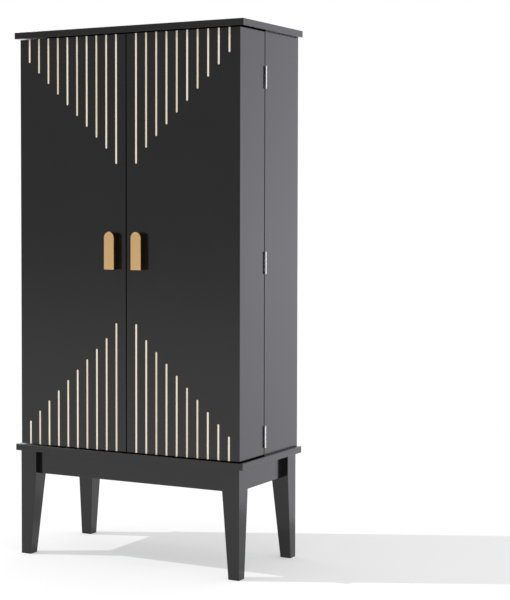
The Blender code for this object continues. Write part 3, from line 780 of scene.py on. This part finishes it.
def new_tree(name, **kinds):
    """A geometry tree with named inputs, given by their kinds, and its input sockets by name."""
    tree = bpy.data.node_groups.new(name, "GeometryNodeTree")
    for kind, labels in kinds.items():
        for label in labels:
            tree.interface.new_socket(label, in_out="INPUT", socket_type=f"NodeSocket{kind}")
    tree.interface.new_socket("Geometry", in_out="OUTPUT", socket_type="NodeSocketGeometry")
    return tree, tree.nodes.new("NodeGroupInput").outputs


def grow(name, tree, values, guide=None):
    """Runs a geometry tree once and keeps what it makes as a plain mesh."""
    obj = bpy.data.objects.new(name, guide or bpy.data.meshes.new(name))
    bpy.context.scene.collection.objects.link(obj)
    modifier = obj.modifiers.new(name, "NODES")
    modifier.node_group = tree
    for item in tree.interface.items_tree:
        if item.in_out == "INPUT" and item.name in values:
            modifier[item.identifier] = values[item.name]
    make_plain(obj)
    return obj


# How the inlay tree works out its strips: a name, a Math operation and its values, which are names or numbers
INLAY_SUMS = (
    ("strips", "MULTIPLY", "Count", 2.0),
    ("fan share", "DIVIDE", "index", "Count"),
    ("fan", "FLOOR", "fan share"),
    ("way", "MULTIPLY_ADD", "fan", -2.0, 1.0),
    ("half turn", "MULTIPLY", "fan", math.pi),
    ("place", "MODULO", "index", "Count"),
    ("last", "SUBTRACT", "Count", 1.0),
    ("rank", "SUBTRACT", "last", "place"),
    ("at meeting edge", "COMPARE", "place", 0.0, 0.5),
    ("added step", "SUBTRACT", "Last Step", "Step"),
    ("extra", "MULTIPLY", "at meeting edge", "added step"),
    ("stepped", "MULTIPLY_ADD", "rank", "Step", "Shortest"),
    ("whole", "ADD", "stepped", "extra"),
    ("radius", "MULTIPLY", "Width", 0.5),
    ("reach", "SUBTRACT", "whole", "radius"),
    ("out", "MULTIPLY_ADD", "place", "Pitch", "Pitch"),
    ("across", "MULTIPLY", "Side", "out"),
    ("height", "SUBTRACT", "Top", "Bottom"),
    ("edge", "MULTIPLY_ADD", "fan", "height", "Bottom"),
    ("tip", "MULTIPLY_ADD", "way", "reach", "edge"),
    ("narrow", "MULTIPLY_ADD", "Play", -2.0, "Width"),
    ("half", "MULTIPLY", "narrow", 0.5),
    ("head", "GREATER_THAN", "up", 0.0),
    ("head radius", "MULTIPLY", "head", "half"),
    ("knee", "MULTIPLY", "half", -0.5),
    ("low", "LESS_THAN", "up", "knee"),
    ("drop", "SUBTRACT", "Setback", "reach"),
    ("own drop", "ADD", "drop", "half"),
    ("foot travel", "MULTIPLY", "way", "own drop"),
)


def inlay_tree():
    """A door's two fans of round-ended strips, by the rule of the grooves."""
    fan = ("Side", "Pitch", "Shortest", "Step", "Last Step", "Setback", "Bottom", "Top", "Back")
    strip = ("Width", "Play", "Thickness")
    counts = ("Count", "Arc Steps", "Seed")
    tree, given = new_tree("inlay_fans", Int=counts, Float=fan + strip, Material=["Material"])

    # Each point is a strip: the first fan rises from the bottom edge, the second hangs from the top edge
    known = {socket.name: socket for socket in given}
    known["index"] = add(tree, "GeometryNodeInputIndex").outputs[0]
    upright = add(tree, "ShaderNodeSeparateXYZ", [add(tree, "GeometryNodeInputPosition")])
    known["up"] = upright.outputs["Y"]
    for label, operation, *values in INLAY_SUMS:
        feeds = [known.get(value, value) for value in values]
        known[label] = add(tree, "ShaderNodeMath", feeds, operation=operation).outputs[0]
    spot = add(tree, "ShaderNodeCombineXYZ", [known["across"], given["Back"], known["tip"]])
    line = add(tree, "GeometryNodeMeshLine", {"Count": known["strips"]})
    points = add(tree, "GeometryNodeSetPosition", {"Geometry": line, "Position": spot})
    limits = {"Min": -1.0, "Max": 1.0, "ID": known["index"], "Seed": given["Seed"]}
    tone = add(tree, "FunctionNodeRandomValue", limits, data_type="FLOAT")
    per_point = {"data_type": "FLOAT", "domain": "POINT"}
    for label, value in (("foot_travel", known["foot travel"]), ("tone", tone)):
        feeds = {"Geometry": points, "Name": label, "Value": value}
        points = add(tree, "GeometryNodeStoreNamedAttribute", feeds, **per_point)

    # One outline with a half-round head about its origin and a foot that is drawn out later
    square = {"Width": known["narrow"], "Height": known["narrow"]}
    outline = add(tree, "GeometryNodeCurvePrimitiveQuadrilateral", square, mode="RECTANGLE")
    head = {"Count": given["Arc Steps"], "Radius": known["head radius"], "Limit Radius": True}
    eased = add(tree, "GeometryNodeFilletCurve", {"Curve": outline, **head}, mode="POLY")
    face = add(tree, "GeometryNodeFillCurve", {"Curve": eased}, mode="NGONS")
    merged = add(tree, "GeometryNodeMergeByDistance", {"Geometry": face, "Distance": MERGE_DISTANCE})
    feeds = {"Geometry": merged, "Name": "foot", "Value": known["low"]}
    marked = add(tree, "GeometryNodeStoreNamedAttribute", feeds, **per_point)

    # Stand the outline up, draw each foot out to the door's edge and give the strip its thickness
    turn = add(tree, "ShaderNodeCombineXYZ", {"X": math.pi / 2, "Y": known["half turn"]})
    feeds = {"Points": points, "Instance": marked, "Rotation": turn}
    strips = add(tree, "GeometryNodeInstanceOnPoints", feeds)
    real = add(tree, "GeometryNodeRealizeInstances", {"Geometry": strips})
    foot, travel = (
        add(tree, "GeometryNodeInputNamedAttribute", {"Name": label}, data_type="FLOAT")
        for label in ("foot", "foot_travel")
    )
    down = add(tree, "ShaderNodeMath", [foot, travel], operation="MULTIPLY")
    offset = add(tree, "ShaderNodeCombineXYZ", {"Z": down})
    drawn = add(tree, "GeometryNodeSetPosition", {"Geometry": real, "Offset": offset})
    feeds = {"Mesh": drawn, "Offset Scale": given["Thickness"], "Individual": False}
    front = add(tree, "GeometryNodeExtrudeMesh", feeds)
    back = add(tree, "GeometryNodeFlipFaces", {"Mesh": drawn})
    joined = add(tree, "GeometryNodeJoinGeometry", {"Geometry": front})
    feed(tree, joined, {"Geometry": back})
    closed = add(tree, "GeometryNodeMergeByDistance", {"Geometry": joined, "Distance": MERGE_DISTANCE})
    dressed = add(tree, "GeometryNodeSetMaterial", {"Geometry": closed, "Material": given["Material"]})
    add(tree, "NodeGroupOutput", {"Geometry": dressed})
    return tree


class CABINET_OT_inlays(bpy.types.Operator):
    """Lays the pale strips in the grooves of the door fronts"""

    bl_idname = "cabinet.inlays"
    bl_label = "Inlays"

    SEED = 7

    def execute(self, context):
        sizes = context.scene.cabinet_sizes
        material = finishes(context.scene)["inlay"]
        tree = inlay_tree()
        for side, sign in SIDES.items():
            _, (front, _), (floor, ceiling), _ = door_space(side)
            values = {
                "Count": sizes.groove_count,
                "Side": float(sign),
                "Pitch": sizes.groove_pitch,
                "Width": sizes.groove_width,
                "Play": sizes.inlay_play,
                "Thickness": sizes.groove_depth - sizes.inlay_recess,
                "Shortest": sizes.groove_shortest,
                "Step": sizes.groove_step,
                "Last Step": sizes.groove_last_step,
                "Setback": sizes.inlay_setback,
                "Bottom": floor,
                "Top": ceiling,
                "Back": front + sizes.groove_depth,
                "Arc Steps": GROOVE_ARC_STEPS // 2,
                "Seed": self.SEED + sign,
                "Material": material,
            }
            finish_piece(grow(f"{side}_door_inlays", tree, values), f"{side}_door")
        return {"FINISHED"}


class CABINET_OT_handles(bpy.types.Operator):
    """Finishes the brass block handles"""

    bl_idname = "cabinet.handles"
    bl_label = "Handles"

    HEAD_STEPS = 48
    EDGE_SEGMENTS = 5

    def execute(self, context):
        sizes = context.scene.cabinet_sizes
        brass = finishes(context.scene)["handle"]
        for side in SIDES:
            node = f"{side}_handle"
            low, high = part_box(node)
            radius = (high.x - low.x) / 2
            head = arc((low.x + radius, high.z - radius), radius, 0.0, math.pi, self.HEAD_STEPS)
            outline = [(low.x, low.z), (high.x, low.z), *head]
            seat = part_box(f"{side}_door_front")[0].y
            bm = bmesh.new()
            prism(bm, [(x, seat, z) for x, z in outline], (0, low.y - seat, 0))
            round_edges(
                bm,
                sizes.handle_edge,
                lambda e: all(abs(v.co.y - low.y) < MERGE_DISTANCE for v in e.verts),
                self.EDGE_SEGMENTS,
            )
            finish_piece(new_object(f"{node}_brass", bm, brass), f"{side}_door", [node])
        return {"FINISHED"}


def guide_mesh(name, rows):
    """A mesh of loose points, each with the way it faces and its size."""
    mesh = bpy.data.meshes.new(name)
    mesh.from_pydata([tuple(place) for place, _, _ in rows], [], [])
    facing = mesh.attributes.new("facing", "FLOAT_VECTOR", "POINT")
    facing.data.foreach_set("vector", [c for _, way, _ in rows for c in way])
    size = mesh.attributes.new("size", "FLOAT", "POINT")
    size.data.foreach_set("value", [wide for _, _, wide in rows])
    return mesh


def set_out(tree, given, shape, twist=None):
    """Ends a tree with its shape at each guide point, facing and sized as the point says, and dressed."""
    facing = add(tree, "GeometryNodeInputNamedAttribute", {"Name": "facing"}, data_type="FLOAT_VECTOR")
    size = add(tree, "GeometryNodeInputNamedAttribute", {"Name": "size"}, data_type="FLOAT")
    turn = add(tree, "FunctionNodeAlignRotationToVector", {"Vector": facing}, axis="Z")
    if twist:
        feeds = {"Rotation": turn, "Rotate By": twist}
        turn = add(tree, "FunctionNodeRotateRotation", feeds, rotation_space="LOCAL")
    feeds = {"Points": given["Guide"], "Instance": shape, "Rotation": turn, "Scale": size}
    placed = add(tree, "GeometryNodeInstanceOnPoints", feeds)
    real = add(tree, "GeometryNodeRealizeInstances", {"Geometry": placed})
    dressed = add(tree, "GeometryNodeSetMaterial", {"Geometry": real, "Material": given["Material"]})
    add(tree, "NodeGroupOutput", {"Geometry": dressed})


def collar_tree():
    """Bead collars about the rails' ends, one at each guide point."""
    sizes = ("Radius", "Bead")
    tree, given = new_tree("rail_collars", Geometry=["Guide"], Float=sizes, Material=["Material"])
    circles = []
    for label, steps in zip(sizes, (COLLAR_STEPS, BEAD_STEPS)):
        feeds = {"Resolution": steps, "Radius": given[label]}
        circles.append(add(tree, "GeometryNodeCurvePrimitiveCircle", feeds, mode="RADIUS"))
    ring, bead = circles
    set_out(tree, given, add(tree, "GeometryNodeCurveToMesh", {"Curve": ring, "Profile Curve": bead}))
    return tree


class CABINET_OT_rails(bpy.types.Operator):
    """Finishes the bottle rails in the doors, with a collar at each end"""

    bl_idname = "cabinet.rails"
    bl_label = "Bottle rails"

    def execute(self, context):
        sizes = context.scene.cabinet_sizes
        brass = finishes(context.scene)["rail"]
        tree = collar_tree()
        for side, sign in SIDES.items():
            (meeting, outer), _, _, thick = door_space(side)
            rows = []
            for level in RAIL_LEVELS:
                node = f"{side}_door_{level}_rail"
                low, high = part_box(node)
                middle = (low + high) / 2
                bm = bmesh.new()
                rod(bm, (high.z - low.z) / 2, (low.x, middle.y, middle.z), (high.x, middle.y, middle.z))
                finish_piece(new_object(f"{node}_brass", bm, brass), f"{side}_door", [node])
                for x, way in ((meeting + sign * thick, sign), (outer - sign * thick, -sign)):
                    rows.append((Vector((x, middle.y, middle.z)), (way, 0, 0), 1.0))
            values = {"Radius": sizes.collar_radius, "Bead": sizes.collar_bead, "Material": brass}
            name = f"{side}_door_rail_collars"
            finish_piece(grow(name, tree, values, guide_mesh(name, rows)), f"{side}_door")
        return {"FINISHED"}


def hinge_halves(side):
    """The two leaves of a hinge: name, the body that carries it, and the sign in Y towards its board."""
    return (("body_leaf", "cabinet", 1), ("door_leaf", f"{side}_door", -1))


def leaf_screws(hinge, half, sign, toward, sizes):
    """Where the three screws of a hinge leaf enter its face."""
    pin_low, pin_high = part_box(f"{hinge}_pin")
    low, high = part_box(f"{hinge}_{half}")
    bottom, top = (corner.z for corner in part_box(f"{hinge}_body_leaf"))
    x = outer_of(low.x, high.x, sign)[1] + sign * sizes.hinge_screw_margin
    y = (pin_low.y + pin_high.y) / 2 + toward * sizes.leaf_gap / 2
    return [Vector((x, y, bottom + (top - bottom) * share)) for share in LEAF_SCREWS]


class CABINET_OT_hinges(bpy.types.Operator):
    """Finishes the butt hinges: two leaves with rolled knuckles, and a pin with domed heads"""

    bl_idname = "cabinet.hinges"
    bl_label = "Hinges"

    KNUCKLE_CHAMFER = 0.0003
    FINGER_END = 0.0025
    FINGER_INSET = 0.0002
    CUT_MARGIN = 0.0001
    CORNER_STEPS = 8

    # A pin head's side rises by a share of its height, and its dome is drawn at these angles
    DOME_FOOT = 0.4
    DOME_TURNS = (0.0, 0.35, 0.7, 1.05)

    def execute(self, context):
        sizes = context.scene.cabinet_sizes
        steel = finishes(context.scene)["steel"]
        for side, sign in SIDES.items():
            for level in HINGE_LEVELS:
                hinge = f"{side}_{level}_hinge"
                low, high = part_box(f"{hinge}_pin")
                axis = (low + high) / 2
                for first, (half, body, toward) in enumerate(hinge_halves(side)):
                    obj = self.leaf(hinge, half, axis, sign, toward, first, sizes, steel)
                    self.countersink(obj, leaf_screws(hinge, half, sign, toward, sizes), toward, sizes)
                    finish_piece(obj, body, [f"{hinge}_{half}"])
                obj = self.pin(hinge, axis, sizes, steel)
                finish_piece(obj, "cabinet", [f"{hinge}_pin"])
        return {"FINISHED"}

    def leaf(self, hinge, half, axis, sign, toward, first, sizes, material):
        """A plate with fingers, joined to its chamfered knuckles."""
        low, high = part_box(f"{hinge}_body_leaf")
        gap = sizes.knuckle_gap / 2
        bottom = low.z - gap
        top = high.z + gap
        low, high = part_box(f"{hinge}_{half}")
        inward = -sign
        far = outer_of(low.x, high.x, sign)[1]
        near = far - inward * sizes.leaf_width
        count = sizes.knuckle_count
        pitch = (top - bottom) / count
        spans = [(bottom + k * pitch + gap, bottom + (k + 1) * pitch - gap) for k in range(first, count, 2)]
        corner = sizes.leaf_corner
        quarter = math.pi / 2
        outline = []
        for angle, z in ((quarter, top - corner), (0.0, bottom + corner)):
            points = arc((0.0, z), corner, angle, -quarter, self.CORNER_STEPS)
            outline += [(far - inward * corner + inward * px, pz) for px, pz in points]
        outline.append((near, bottom))
        end = axis.x + inward * self.FINGER_END
        for span_low, span_high in spans:
            inset_low = span_low + self.FINGER_INSET
            inset_high = span_high - self.FINGER_INSET
            outline += [(near, inset_low), (end, inset_low), (end, inset_high), (near, inset_high)]
        outline.append((near, top))
        face = axis.y + toward * sizes.leaf_gap / 2
        bm = bmesh.new()
        prism(bm, [(x, face, z) for x, z in outline], (0, toward * sizes.leaf_thickness, 0))
        obj = new_object(f"{hinge}_{half}_plated", bm, material)

        outside = sizes.knuckle_diameter / 2
        inside = sizes.knuckle_bore / 2
        cut = self.KNUCKLE_CHAMFER
        bm = bmesh.new()
        for span_low, span_high in spans:
            profile = (
                (inside, span_low),
                (outside - cut, span_low),
                (outside, span_low + cut),
                (outside, span_high - cut),
                (outside - cut, span_high),
                (inside, span_high),
            )
            turned(bm, profile, Vector((axis.x, axis.y, 0)))
        combine(obj, bm, "UNION")
        return obj

    def countersink(self, obj, places, toward, sizes):
        """Cuts a cone for each screw's head through a leaf."""
        over = self.CUT_MARGIN
        wide = sizes.hinge_screw / 2 + sizes.countersink_play + over
        deep = sizes.leaf_thickness + 2 * over
        bm = bmesh.new()
        for place in places:
            start = place - Vector((0, toward * over, 0))
            rod(bm, wide, start, start + Vector((0, toward * deep, 0)), wide - deep)
        combine(obj, bm, "DIFFERENCE")

    def pin(self, hinge, axis, sizes, material):
        """A pin with a low domed head at each end."""
        low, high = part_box(f"{hinge}_pin")
        head = (high.x - low.x) / 2
        shank = sizes.pin_diameter / 2
        leaf_low, leaf_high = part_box(f"{hinge}_body_leaf")
        seat = (leaf_high.z - leaf_low.z) / 2 + sizes.knuckle_gap
        end = (high.z - low.z) / 2
        foot = self.DOME_FOOT
        rises = [(end - seat) * (foot + (1 - foot) * math.sin(t)) for t in self.DOME_TURNS]
        dome = [(head * math.cos(t), seat + rise) for t, rise in zip(self.DOME_TURNS, rises)]
        upper = [(0.0, end), *reversed(dome), (head, seat), (shank, seat)]
        profile = upper + [(r, -z) for r, z in reversed(upper)]
        bm = bmesh.new()
        turned(bm, profile, axis)
        return new_object(f"{hinge}_pin_plated", bm, material)


class CABINET_OT_catches(bpy.types.Operator):
    """Finishes the magnetic catches: moulded block, steel poles and strike plate"""

    bl_idname = "cabinet.catches"
    bl_label = "Catches"

    BLOCK_EDGE = 0.0010
    PLATE_EDGE = 0.0003
    POLE_HEIGHT = 0.0022
    POLE_LEVELS = (0.25, 0.75)
    POLE_MARGIN = 0.003
    POLE_DEPTH = 0.004
    POLE_PROUD = 0.00012

    def execute(self, context):
        made = finishes(context.scene)
        for side in SIDES:
            for part, body, slot, material, edge in (
                ("magnet", "cabinet", "black_plastic", made["plastic"], self.BLOCK_EDGE),
                ("strike", f"{side}_door", "bright_steel", made["steel"], self.PLATE_EDGE),
            ):
                node = f"{side}_catch_{part}"
                obj = new_object(f"{node}_finished", eased_box(*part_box(node), edge), material)
                finish_piece(obj, body, [node])
            low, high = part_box(f"{side}_catch_magnet")
            bm = bmesh.new()
            for level in self.POLE_LEVELS:
                middle = low.z + (high.z - low.z) * level
                block(
                    bm,
                    (low.x + self.POLE_MARGIN, low.y - self.POLE_PROUD, middle - self.POLE_HEIGHT / 2),
                    (high.x - self.POLE_MARGIN, low.y + self.POLE_DEPTH, middle + self.POLE_HEIGHT / 2),
                )
            finish_piece(new_object(f"{side}_catch_poles", bm, made["steel"]), "cabinet")
        return {"FINISHED"}


def screw_tree(shape):
    """Countersunk cross-head screws of radius 1, one at each guide point, each with a turn of its own."""
    tree, given = new_tree(
        "countersunk_screws", Geometry=["Guide"], Float=shape, Int=["Seed"], Material=["Material"]
    )
    narrow = add(tree, "ShaderNodeMath", [1.0, given["Head Depth"]], operation="SUBTRACT")
    steps = {"Vertices": SCREW_SEGMENTS, "Side Segments": 1, "Fill Segments": 1}
    cone = {"Radius Top": 1.0, "Radius Bottom": narrow, "Depth": given["Head Depth"]}
    head = add(tree, "GeometryNodeMeshCone", {**steps, **cone}, fill_type="NGON")
    lift = add(tree, "ShaderNodeMath", [given["Proud"], given["Head Depth"]], operation="SUBTRACT")
    raise_by = add(tree, "ShaderNodeCombineXYZ", {"Z": lift})
    cut = add(tree, "GeometryNodeTransform", {"Geometry": head, "Translation": raise_by})
    recess = [given["Recess Reach"], given["Recess Width"], given["Recess Depth"]]
    slit = add(tree, "GeometryNodeMeshCube", {"Size": add(tree, "ShaderNodeCombineXYZ", recess)})
    crossed = add(tree, "GeometryNodeTransform", {"Geometry": slit, "Rotation": (0.0, 0.0, math.pi / 2)})
    for cutter in (slit, crossed):
        feeds = {"Mesh 1": cut, "Mesh 2": cutter}
        cut = add(tree, "GeometryNodeMeshBoolean", feeds, operation="DIFFERENCE", solver="EXACT")
    limits = {"Min": 0.0, "Max": math.pi, "Seed": given["Seed"]}
    angle = add(tree, "FunctionNodeRandomValue", limits, data_type="FLOAT")
    twist = add(tree, "FunctionNodeAxisAngleToRotation", {"Axis": (0.0, 0.0, 1.0), "Angle": angle})
    set_out(tree, given, cut, twist)
    return tree


class CABINET_OT_screws(bpy.types.Operator):
    """Drives the screws of the hinges, catches, handles and back panel"""

    bl_idname = "cabinet.screws"
    bl_label = "Screws"

    CATCH_SCREWS = (0.2, 0.8)
    HANDLE_SCREWS = (0.22, 0.78)
    BACK_MARGIN = 0.012
    BACK_SPACING = 0.16
    SEED = 3

    # A strike plate's screws, as a share of a hinge's
    STRIKE_SCREW = 0.8

    # A screw's shape, in shares of its head's radius
    SHAPE = {
        "Head Depth": 0.55,
        "Recess Width": 0.25,
        "Recess Reach": 1.15,
        "Recess Depth": 0.7,
        "Proud": 0.02,
    }

    def execute(self, context):
        sizes = context.scene.cabinet_sizes
        zinc = finishes(context.scene)["screw"]
        rows = {"cabinet": self.back_rows(sizes)}
        for side, sign in SIDES.items():
            rows[f"{side}_door"] = self.handle_rows(side, sizes)
            self.hinge_rows(side, sign, sizes, rows)
            self.catch_rows(side, sizes, rows)
        tree = screw_tree(self.SHAPE)
        values = {**self.SHAPE, "Seed": self.SEED, "Material": zinc}
        for body, points in rows.items():
            name = f"{body}_screws"
            finish_piece(grow(name, tree, values, guide_mesh(name, points)), body)
        return {"FINISHED"}

    def back_rows(self, sizes):
        """Screws round the back panel's edge."""
        low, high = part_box("back_panel")
        radius = sizes.back_screw / 2
        left, right = low.x + self.BACK_MARGIN, high.x - self.BACK_MARGIN
        bottom, top = low.z + self.BACK_MARGIN, high.z - self.BACK_MARGIN
        upright = round((top - bottom) / self.BACK_SPACING)
        across = round((right - left) / self.BACK_SPACING)
        places = []
        for i in range(upright + 1):
            z = bottom + (top - bottom) * i / upright
            places += [(left, z), (right, z)]
        for i in range(1, across):
            x = left + (right - left) * i / across
            places += [(x, bottom), (x, top)]
        return [(Vector((x, high.y, z)), (0, 1, 0), radius) for x, z in places]

    def handle_rows(self, side, sizes):
        """The heads of a handle's two screws, inside the door."""
        low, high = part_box(f"{side}_handle")
        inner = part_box(f"{side}_door_front")[1].y
        x = (low.x + high.x) / 2
        places = [(x, inner, low.z + (high.z - low.z) * share) for share in self.HANDLE_SCREWS]
        return [(Vector(place), (0, 1, 0), sizes.handle_screw / 2) for place in places]

    def hinge_rows(self, side, sign, sizes, rows):
        """Three screws in each leaf, heads towards the other leaf."""
        for level in HINGE_LEVELS:
            for half, body, toward in hinge_halves(side):
                back = Vector((0, toward, 0))
                for place in leaf_screws(f"{side}_{level}_hinge", half, sign, toward, sizes):
                    rows[body].append((place + back * sizes.countersink_sink, -back, sizes.hinge_screw / 2))

    def catch_rows(self, side, sizes, rows):
        """Two screws up through each magnet block and two in each strike plate."""
        low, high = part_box(f"{side}_catch_magnet")
        strike_low, strike_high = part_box(f"{side}_catch_strike")
        radius = sizes.hinge_screw / 2
        for share in self.CATCH_SCREWS:
            x = low.x + (high.x - low.x) * share
            rows["cabinet"].append((Vector((x, (low.y + high.y) / 2, low.z)), (0, 0, -1), radius))
            x = strike_low.x + (strike_high.x - strike_low.x) * share
            place = Vector((x, strike_high.y, (strike_low.z + strike_high.z) / 2))
            rows[f"{side}_door"].append((place, (0, 1, 0), radius * self.STRIKE_SCREW))


OPERATORS = (
    CABINET_OT_stage,
    CABINET_OT_boards,
    CABINET_OT_stand,
    CABINET_OT_doors,
    CABINET_OT_inlays,
    CABINET_OT_handles,
    CABINET_OT_rails,
    CABINET_OT_hinges,
    CABINET_OT_catches,
    CABINET_OT_screws,
)


class CABINET_PT_finishes(bpy.types.Panel):
    """Lists the cabinet's finishing steps, sizes and colours"""

    bl_idname = "CABINET_PT_finishes"
    bl_label = "Bar cabinet"
    bl_space_type = "VIEW_3D"
    bl_region_type = "UI"
    bl_category = "Cabinet"

    def draw(self, context):
        for operator in OPERATORS:
            self.layout.operator(operator.bl_idname)
        for group in (context.scene.cabinet_sizes, context.scene.cabinet_colours):
            column = self.layout.column(align=True)
            for name in group.__annotations__:
                column.prop(group, name)


CLASSES = (CabinetSizes, CabinetColours, *OPERATORS, CABINET_PT_finishes)


def register():
    """Adds the classes, and the sizes and colours on the scene."""
    for item in CLASSES:
        bpy.utils.register_class(item)
    bpy.types.Scene.cabinet_sizes = PointerProperty(type=CabinetSizes)
    bpy.types.Scene.cabinet_colours = PointerProperty(type=CabinetColours)


def unregister():
    """Takes away what register added."""
    del bpy.types.Scene.cabinet_colours
    del bpy.types.Scene.cabinet_sizes
    for item in reversed(CLASSES):
        bpy.utils.unregister_class(item)


def main():
    """Makes the stage and every piece."""
    register()
    bpy.ops.cabinet.stage()
    bpy.ops.cabinet.boards()
    bpy.ops.cabinet.stand()
    bpy.ops.cabinet.doors()
    bpy.ops.cabinet.inlays()
    bpy.ops.cabinet.handles()
    bpy.ops.cabinet.rails()
    bpy.ops.cabinet.hinges()
    bpy.ops.cabinet.catches()
    bpy.ops.cabinet.screws()


if __name__ == "__main__":
    main()
